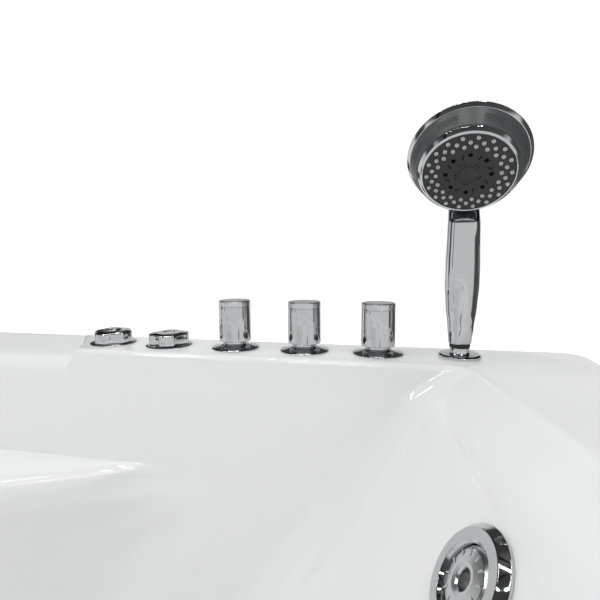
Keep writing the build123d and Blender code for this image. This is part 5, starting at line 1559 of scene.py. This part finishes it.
@dataclass
class Waste:
    """The floor waste with its lifting plug, and the overflow with its turning rosette."""

    x: float = 0.48
    y: float = 0.18
    floor: float = 0.17
    tube_r: float = 0.0223

    def __post_init__(self) -> None:
        """Reads the overflow's place from its joint."""
        self.overflow = facing(*joint_place("rosette_turn"), Vector((1.0, 0.0, 0.0)))
        self.drain = Matrix.Translation((self.x, self.y, self.floor))

    def holes(self) -> list[tuple[Matrix, float, float]]:
        """The shell's holes for the waste and the overflow."""
        return [(self.drain, self.tube_r, 0.05), (self.overflow, self.tube_r, 0.05)]

    def build(self) -> None:
        """Builds the waste's flange and plug and the overflow's rosette, and dresses the overflow's plate."""
        flange = rounded([
            (0.019, -0.052, 0.0), (0.022, -0.052, 0.0), (0.022, 0.0, 0.0), (0.035, 0.0, 0.0002),
            (0.035, 0.0008, 0.0005), (0.031, 0.0026, 0.002), (0.0215, 0.0026, 0.0008),
            (0.019, 0.0012, 0.0008)])
        bm = bmesh.new()
        turn_form(bm, flange, self.drain, 96, ring=True)
        for angle in (0.0, 90.0):
            bar = (self.drain @ Matrix.Rotation(math.radians(angle), 4, "Z")
                   @ Matrix.Translation((0.0, 0.0, -0.0155)) @ Matrix.Diagonal((0.0392, 0.005, 0.005, 1)))
            bmesh.ops.create_cube(bm, size=1.0, matrix=bar)
        publish(bm, "drain_flange_form", BRIGHT_CHROME, Carrier.TUB, ["drain_flange"])
        plug = rounded([
            (0.0, -0.034, 0.0), (0.004, -0.034, 0.0005), (0.004, 0.0, 0.0005), (0.0262, 0.0, 0.0006),
            (0.027, 0.002, 0.0008), (0.0235, 0.0044, 0.003), (0.01, 0.005, 0.01), (0.0, 0.005, 0.0)])
        bm = bmesh.new()
        turn_form(bm, plug, self.drain @ Matrix.Translation((0.0, 0.0, 0.0028)), 96)
        publish(bm, "drain_plug_form", BRIGHT_CHROME, Carrier.PLUG, ["drain_plug"])
        rosette = rounded([
            (0.0, -0.02, 0.0), (0.008, -0.02, 0.0), (0.008, 0.0, 0.0), (0.0285, 0.0, 0.0004),
            (0.033, 0.0062, 0.002), (0.031, 0.013, 0.002), (0.0245, 0.0132, 0.0008),
            (0.024, 0.0122, 0.0005), (0.0, 0.0128, 0.0)])
        bm = bmesh.new()
        place = self.overflow @ Matrix.Translation((0.0, 0.0, 0.0056))
        verts = turn_form(bm, rosette, Matrix.Identity(4), 160)
        for vert in verts:
            radius = vert.co.xy.length
            if radius > 0.02:
                lobes = 0.5 + 0.5 * math.cos(4 * math.atan2(vert.co.y, vert.co.x))
                factor = 1.0 - 0.09 * (1.0 - lobes) ** 2 * smooth_step((radius - 0.02) / 0.01)
                vert.co.x *= factor
                vert.co.y *= factor
        bmesh.ops.transform(bm, matrix=place, verts=verts)
        publish(bm, "overflow_rosette_form", BRIGHT_CHROME, Carrier.ROSETTE, ["overflow_rosette"])
        dress_node("overflow_flange", SATIN_CHROME)


@dataclass
class Apron:
    """The moulded apron behind the lip, round the front, the curve and the right side."""

    shell: TubShell
    set_in: float = 0.0083
    thick: float = 0.005
    low: float = 0.018
    high: float = 0.576
    turn_in: float = 0.009

    def route(self) -> list[tuple[Vector, Vector]]:
        """Places along the apron's plan with the outward way at each.

        Returns:
            Pairs of a place on the outer outline and its outward normal.
        """
        shell = self.shell
        route = []
        start = shell.left + shell.corner + self.turn_in
        for step in range(61):
            route.append((Vector((blend(start, shell.curve_x, step / 60), shell.front)), Vector((0.0, -1.0))))
        for step in range(1, 73):
            angle = math.radians(blend(-90, 0, step / 72))
            out = Vector((math.cos(angle), math.sin(angle)))
            route.append((Vector((shell.curve_x, shell.curve_y)) + out * shell.curve, out))
        end = shell.back - shell.corner - self.turn_in
        for step in range(1, 31):
            route.append((Vector((shell.right, blend(shell.curve_y, end, step / 30))), Vector((1.0, 0.0))))
        return route

    def build(self) -> None:
        """Builds the apron from its section, carried along the route, with two pressed lines."""
        section = rounded([
            (self.turn_in, self.low + self.thick, 0.0), (self.turn_in, self.low, 0.0),
            (0.0, self.low, 0.004), (0.0, 0.07, 0.002), (0.0018, 0.073, 0.002), (0.0018, 0.5, 0.002),
            (0.0, 0.503, 0.002), (0.0, self.high, 0.0), (self.thick, self.high, 0.0),
            (self.thick, self.low + self.thick, 0.0)], 4, closed=True)
        bm = bmesh.new()
        ring = [bm.verts.new((0.0, inset, height)) for inset, height in section]
        for one, two in zip(ring, ring[1:] + ring[:1]):
            bm.edges.new((one, two))
        for number, (place, out) in enumerate(self.route()):
            if number:
                ring = next_ring(bm, ring)
            for vert, (inset, height) in zip(ring, section):
                flat = place - out * (self.set_in + inset)
                vert.co = (flat.x, flat.y, height)
            if number == 0:
                bm.faces.new(ring)
        bm.faces.new(ring)
        publish(bm, "apron_panel_form", WHITE_GELCOAT, Carrier.TUB, ["apron_panel"])
        dress_node("apron_screws", ZINC_PLATE)


@dataclass
class PipeRun:
    """One smooth pipe along a bent route."""

    name: str
    points: tuple[tuple[float, float, float], ...]
    bends: tuple[float, ...]
    radius: float
    wall: float
    finish: Finish

    def build(self) -> bpy.types.Object:
        """Sweeps the pipe's ring along its route and closes its ends.

        Returns:
            The pipe.
        """
        route = self.route()
        bm = bmesh.new()
        around = 28
        first = (route[1] - route[0]).normalized()
        side = first.orthogonal().normalized()
        loops = []
        for radius in (self.radius, self.radius - self.wall):
            ring, way = [], side.copy()
            for number, place in enumerate(route):
                if number in (0, len(route) - 1):
                    ahead = (route[1] - route[0]) if number == 0 else (route[-1] - route[-2])
                else:
                    after, before = route[number + 1] - place, place - route[number - 1]
                    ahead = after.normalized() + before.normalized()
                ahead.normalize()
                way = (way - ahead * way.dot(ahead)).normalized()
                up = ahead.cross(way)
                if number:
                    ring = next_ring(bm, ring)
                else:
                    ring = first_ring(bm, around)
                    loops.append(ring)
                for index, vert in enumerate(ring):
                    angle = math.tau * index / around
                    vert.co = place + (way * math.cos(angle) + up * math.sin(angle)) * radius
            loops.append(ring)
        for one, two in ((loops[0], loops[2]), (loops[1], loops[3])):
            edges = [bm.edges.get((a, b)) for ring in (one, two) for a, b in zip(ring, ring[1:] + ring[:1])]
            bmesh.ops.bridge_loops(bm, edges=edges)
        return publish(bm, f"{self.name}_form", self.finish, Carrier.TUB, [self.name])

    def route(self) -> list[Vector]:
        """The route with its corners bent.

        Returns:
            The route's places.
        """
        points = [Vector(point) for point in self.points]
        route = [points[0]]
        for number, radius in enumerate(self.bends, 1):
            here = points[number]
            before, after = (points[number - 1] - here).normalized(), (points[number + 1] - here).normalized()
            half = before.angle(after) / 2.0
            centre = here + (before + after).normalized() * (radius / math.sin(half))
            reach = radius / math.tan(half)
            first, last = [(here + way * reach - centre).normalized() for way in (before, after)]
            for step in range(13):
                route.append(centre + first.slerp(last, step / 12) * radius)
        return route + [points[-1]]


@dataclass
class Underside:
    """What carries and feeds the tub: rails, posts, feet, board, pump, pipes and valves."""

    def build(self) -> None:
        """Dresses every node that stays, and builds the long pipes."""
        finishes = {
            RAIL_GREY: ("cross_rails", "long_rails", "rim_posts", "pump_mount_plate"),
            ZINC_PLATE: ("leveling_feet", "foot_locknuts"),
            SEALED_PLY: ("base_board",),
            PUMP_BLACK: ("pump_volute", "pump_rotor", "motor_fan_cover", "motor_terminal_box"),
            MOTOR_BLUE: ("pump_motor",),
            RAW_BRASS: ("valve_bodies", "valve_crossbar", "deck_nuts"),
            PIPE_WHITE: ("air_regulator", "switch_body", "jet_bodies", "jet_nuts", "suction_body",
                         "suction_pipe", "back_jet_pipes", "overflow_body", "overflow_pipe", "drain_trap"),
            GREY_SATIN: ("suction_cover",),
            HOSE_MILKY: ("air_drop_pipe",),
        }
        for finish, nodes in finishes.items():
            for node in nodes:
                dress_node(node, finish)
        water_z, air_z, fill_z = 0.338097, 0.395097, 0.47
        PipeRun("water_manifold", ((0.1, -0.49, water_z), (-0.8, -0.49, water_z), (-0.8, 0.49, water_z),
                                   (0.1, 0.49, water_z)), (0.06, 0.06), 0.016, 0.0025, PIPE_WHITE).build()
        PipeRun("air_pipe", ((0.09, -0.505, air_z), (-0.835, -0.505, air_z), (-0.835, 0.505, air_z),
                             (0.09, 0.505, air_z)), (0.06, 0.06), 0.01, 0.0015, HOSE_MILKY).build()
        PipeRun("filler_pipe", ((-0.618, -0.5432, fill_z), (-0.618, -0.515, fill_z), (-0.85, -0.515, fill_z),
                                (-0.85, 0.515, fill_z), (0.444, 0.515, fill_z)),
                (0.02, 0.06, 0.06), 0.011, 0.0015, HOSE_MILKY).build()


@dataclass(frozen=True)
class Studio:
    """The floor, the lamps, the world and the camera at the photograph's angle."""

    eye: tuple[float, float, float] = (-0.7072, -0.1092, 0.7085)
    look: tuple[float, float, float] = (0.2028, -0.9721, -0.1182)
    roll: float = -0.42
    lens: float = 26.4
    floor_size: float = 14.0
    sky: float = 0.57
    front_bands: tuple[Point, ...] = ((0.0, 0.7), (0.48, 0.9), (0.53, 0.62), (0.62, 0.58), (0.68, 0.06),
                                      (0.95, 0.05), (1.0, 0.2))
    back_bands: tuple[Point, ...] = ((0.0, 0.78), (0.5, 0.8), (0.64, 0.78), (0.7, 0.1), (0.9, 0.05),
                                     (1.0, 0.06))
    flank_bands: tuple[Point, ...] = ((0.0, 1.0), (0.097, 1.0), (0.105, 0.1), (0.13, 0.1), (0.14, 1.0),
                                      (0.22, 1.0), (0.235, 0.1), (0.275, 0.1), (0.29, 1.0), (0.33, 1.0),
                                      (0.336, 0.1), (0.344, 0.1), (0.35, 0.95), (0.7, 0.95), (0.72, 0.12),
                                      (0.9, 0.1), (0.93, 1.0), (1.0, 1.0))
    strip_rows: tuple[float, ...] = (0.5, -0.3)
    strip_columns: tuple[float, ...] = (-1.2, -0.35, 0.5)
    strip_height: float = 2.4
    strip_size: tuple[float, float] = (0.7, 0.055)
    strip_power: float = 4.0
    fill_size: tuple[float, float] = (2.4, 1.6)
    fill_power: float = 13.0

    def camera(self) -> None:
        """Places the camera."""
        data = bpy.data.cameras.new("camera")
        data.lens, data.sensor_width, data.clip_start = self.lens, 36.0, 0.02
        data.sensor_fit = "HORIZONTAL"
        eye = bpy.data.objects.new("camera", data)
        bpy.context.scene.collection.objects.link(eye)
        turn = Vector(self.look).to_track_quat("-Z", "Y").to_matrix().to_4x4()
        roll = Matrix.Rotation(math.radians(self.roll), 4, "Z")
        eye.matrix_world = Matrix.Translation(self.eye) @ turn @ roll
        bpy.context.scene.camera = eye

    def lamp(self, name: str, place: Sequence[float], aim: Sequence[float], size: Sequence[float],
             power: float) -> bpy.types.Object:
        """Adds one soft box.

        Args:
            name: Its name.
            place: Where it hangs.
            aim: The point that it faces.
            size: Its two sides.
            power: Its power in watts.

        Returns:
            The lamp.
        """
        data = bpy.data.lights.new(name, "AREA")
        data.shape, data.size, data.size_y, data.energy = "RECTANGLE", size[0], size[1], power
        lamp = bpy.data.objects.new(name, data)
        lamp.location = place
        lamp.rotation_euler = (Vector(aim) - Vector(place)).to_track_quat("-Z", "Y").to_euler()
        bpy.context.scene.collection.objects.link(lamp)
        return lamp

    def sky_tone(self, tree: bpy.types.NodeTree, height: bpy.types.NodeSocket,
                 bands: Sequence[Point]) -> bpy.types.NodeSocket:
        """Adds a grey that changes with the height or the turn of the direction.

        Args:
            tree: The world's node tree.
            height: The direction's height, from 0 straight down to 1 straight up, or its turn.
            bands: Heights or turns with their greys.

        Returns:
            The colour socket.
        """
        ramp = tree.nodes.new("ShaderNodeValToRGB")
        marks = ramp.color_ramp.elements
        marks[0].position, marks[1].position = bands[0][0], bands[-1][0]
        for position, _ in bands[1:-1]:
            marks.new(position)
        for mark, (_, tone) in zip(marks, bands):
            mark.color = (tone, tone, tone, 1.0)
        tree.links.new(height, ramp.inputs["Fac"])
        return ramp.outputs["Color"]

    def world(self) -> None:
        """Lights the object with a plain sky that the camera sees as white.

        What the plating mirrors is white round the front, pale behind the camera, dark at the
        sides and a dark ceiling above.
        """
        world = bpy.data.worlds.new("studio")
        world.use_nodes = True
        tree = world.node_tree
        tree.nodes.clear()
        kinds = ("LightPath", "TexCoord", "SeparateXYZ", "MapRange", "MapRange", "MixRGB", "Math", "MapRange",
                 "MixRGB", "Background", "Background", "Background", "MixShader", "MixShader", "OutputWorld")
        (rays, coords, split, lift, side, both, turn, share, flank, mirrored, soft, white, inner, outer,
         out) = [tree.nodes.new(f"ShaderNode{kind}") for kind in kinds]
        turn.operation, flank.blend_type = "ARCTAN2", "MULTIPLY"
        flank.inputs["Fac"].default_value = 1.0
        share.inputs["From Min"].default_value = math.pi
        share.inputs["From Max"].default_value = -math.pi
        lift.inputs["From Min"].default_value = -1.0
        side.inputs["From Min"].default_value = -0.35
        side.inputs["From Max"].default_value = 0.15
        soft.inputs["Color"].default_value = (1.0, 1.0, 1.0, 1.0)
        soft.inputs["Strength"].default_value = self.sky
        white.inputs["Color"].default_value = (1.0, 1.0, 1.0, 1.0)
        links = tree.links
        links.new(coords.outputs["Generated"], split.inputs["Vector"])
        links.new(split.outputs["Z"], lift.inputs["Value"])
        links.new(split.outputs["Y"], side.inputs["Value"])
        links.new(side.outputs["Result"], both.inputs["Fac"])
        links.new(self.sky_tone(tree, lift.outputs["Result"], self.front_bands), both.inputs["Color1"])
        links.new(self.sky_tone(tree, lift.outputs["Result"], self.back_bands), both.inputs["Color2"])
        links.new(split.outputs["X"], turn.inputs[0])
        links.new(split.outputs["Y"], turn.inputs[1])
        links.new(turn.outputs["Value"], share.inputs["Value"])
        links.new(both.outputs["Color"], flank.inputs["Color1"])
        links.new(self.sky_tone(tree, share.outputs["Result"], self.flank_bands), flank.inputs["Color2"])
        links.new(flank.outputs["Color"], mirrored.inputs["Color"])
        links.new(rays.outputs["Is Glossy Ray"], inner.inputs["Fac"])
        links.new(soft.outputs["Background"], inner.inputs[1])
        links.new(mirrored.outputs["Background"], inner.inputs[2])
        links.new(rays.outputs["Is Camera Ray"], outer.inputs["Fac"])
        links.new(inner.outputs["Shader"], outer.inputs[1])
        links.new(white.outputs["Background"], outer.inputs[2])
        links.new(outer.outputs["Shader"], out.inputs["Surface"])
        bpy.context.scene.world = world

    def floor(self) -> None:
        """Lays the pale floor, which keeps the object's shadow."""
        bm = bmesh.new()
        bmesh.ops.create_grid(bm, x_segments=1, y_segments=1, size=self.floor_size / 2)
        mesh = bpy.data.meshes.new("floor")
        bm.to_mesh(mesh)
        bm.free()
        piece = bpy.data.objects.new("floor", mesh)
        bpy.context.scene.collection.objects.link(piece)
        bench = Bench("floor_pale")
        bench.tint(bench.noise(1.5), (0.86, 0.86, 0.86), (0.88, 0.88, 0.88))
        bench.fixed(Roughness=0.7, Specular_IOR_Level=0.2)
        rays = bench.node("ShaderNodeLightPath")
        glow = bench.node("ShaderNodeEmission", Strength=0.62)
        dark = bench.node("ShaderNodeEmission", Strength=0.0)
        seen = bench.node("ShaderNodeMixShader")
        total = bench.node("ShaderNodeAddShader")
        bench.link(rays.outputs["Is Camera Ray"], seen.inputs["Fac"])
        bench.link(dark.outputs["Emission"], seen.inputs[1])
        bench.link(glow.outputs["Emission"], seen.inputs[2])
        bench.link(bench.shader.outputs["BSDF"], total.inputs[0])
        bench.link(seen.outputs["Shader"], total.inputs[1])
        bench.link(total.outputs["Shader"], bench.tree.nodes["Material Output"].inputs["Surface"])
        mesh.materials.append(bench.material)
        piece.visible_glossy = False

    def build(self) -> None:
        """Sets up everything round the object."""
        self.camera()
        self.world()
        self.floor()
        for row, y in enumerate(self.strip_rows):
            for column, x in enumerate(self.strip_columns):
                self.lamp(f"ceiling_{row}_{column}", (x, y, self.strip_height), (x * 0.6, y * 0.5, 0.4),
                          self.strip_size, self.strip_power)
        fill = self.lamp("front_fill", (-0.2, -3.2, 2.0), (0.0, 0.0, 0.4), self.fill_size, self.fill_power)
        fill.visible_glossy = False
        bpy.context.scene.view_settings.view_transform = "Standard"


def main() -> None:
    """Builds the bathtub and its studio in order."""
    logging.basicConfig(level=logging.INFO, format="%(message)s")
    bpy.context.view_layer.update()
    Studio().build()
    row, jets, waste = DeckRow(), Jets(), Waste()
    shell = TubShell(holes=row.holes() + jets.holes() + waste.holes())
    shell.build()
    Apron(shell).build()
    TallHandles(row).build()
    LowKnobs(row).build()
    HandShower(row).build()
    jets.build()
    waste.build()
    Underside().build()


if __name__ == "__main__":
    main()
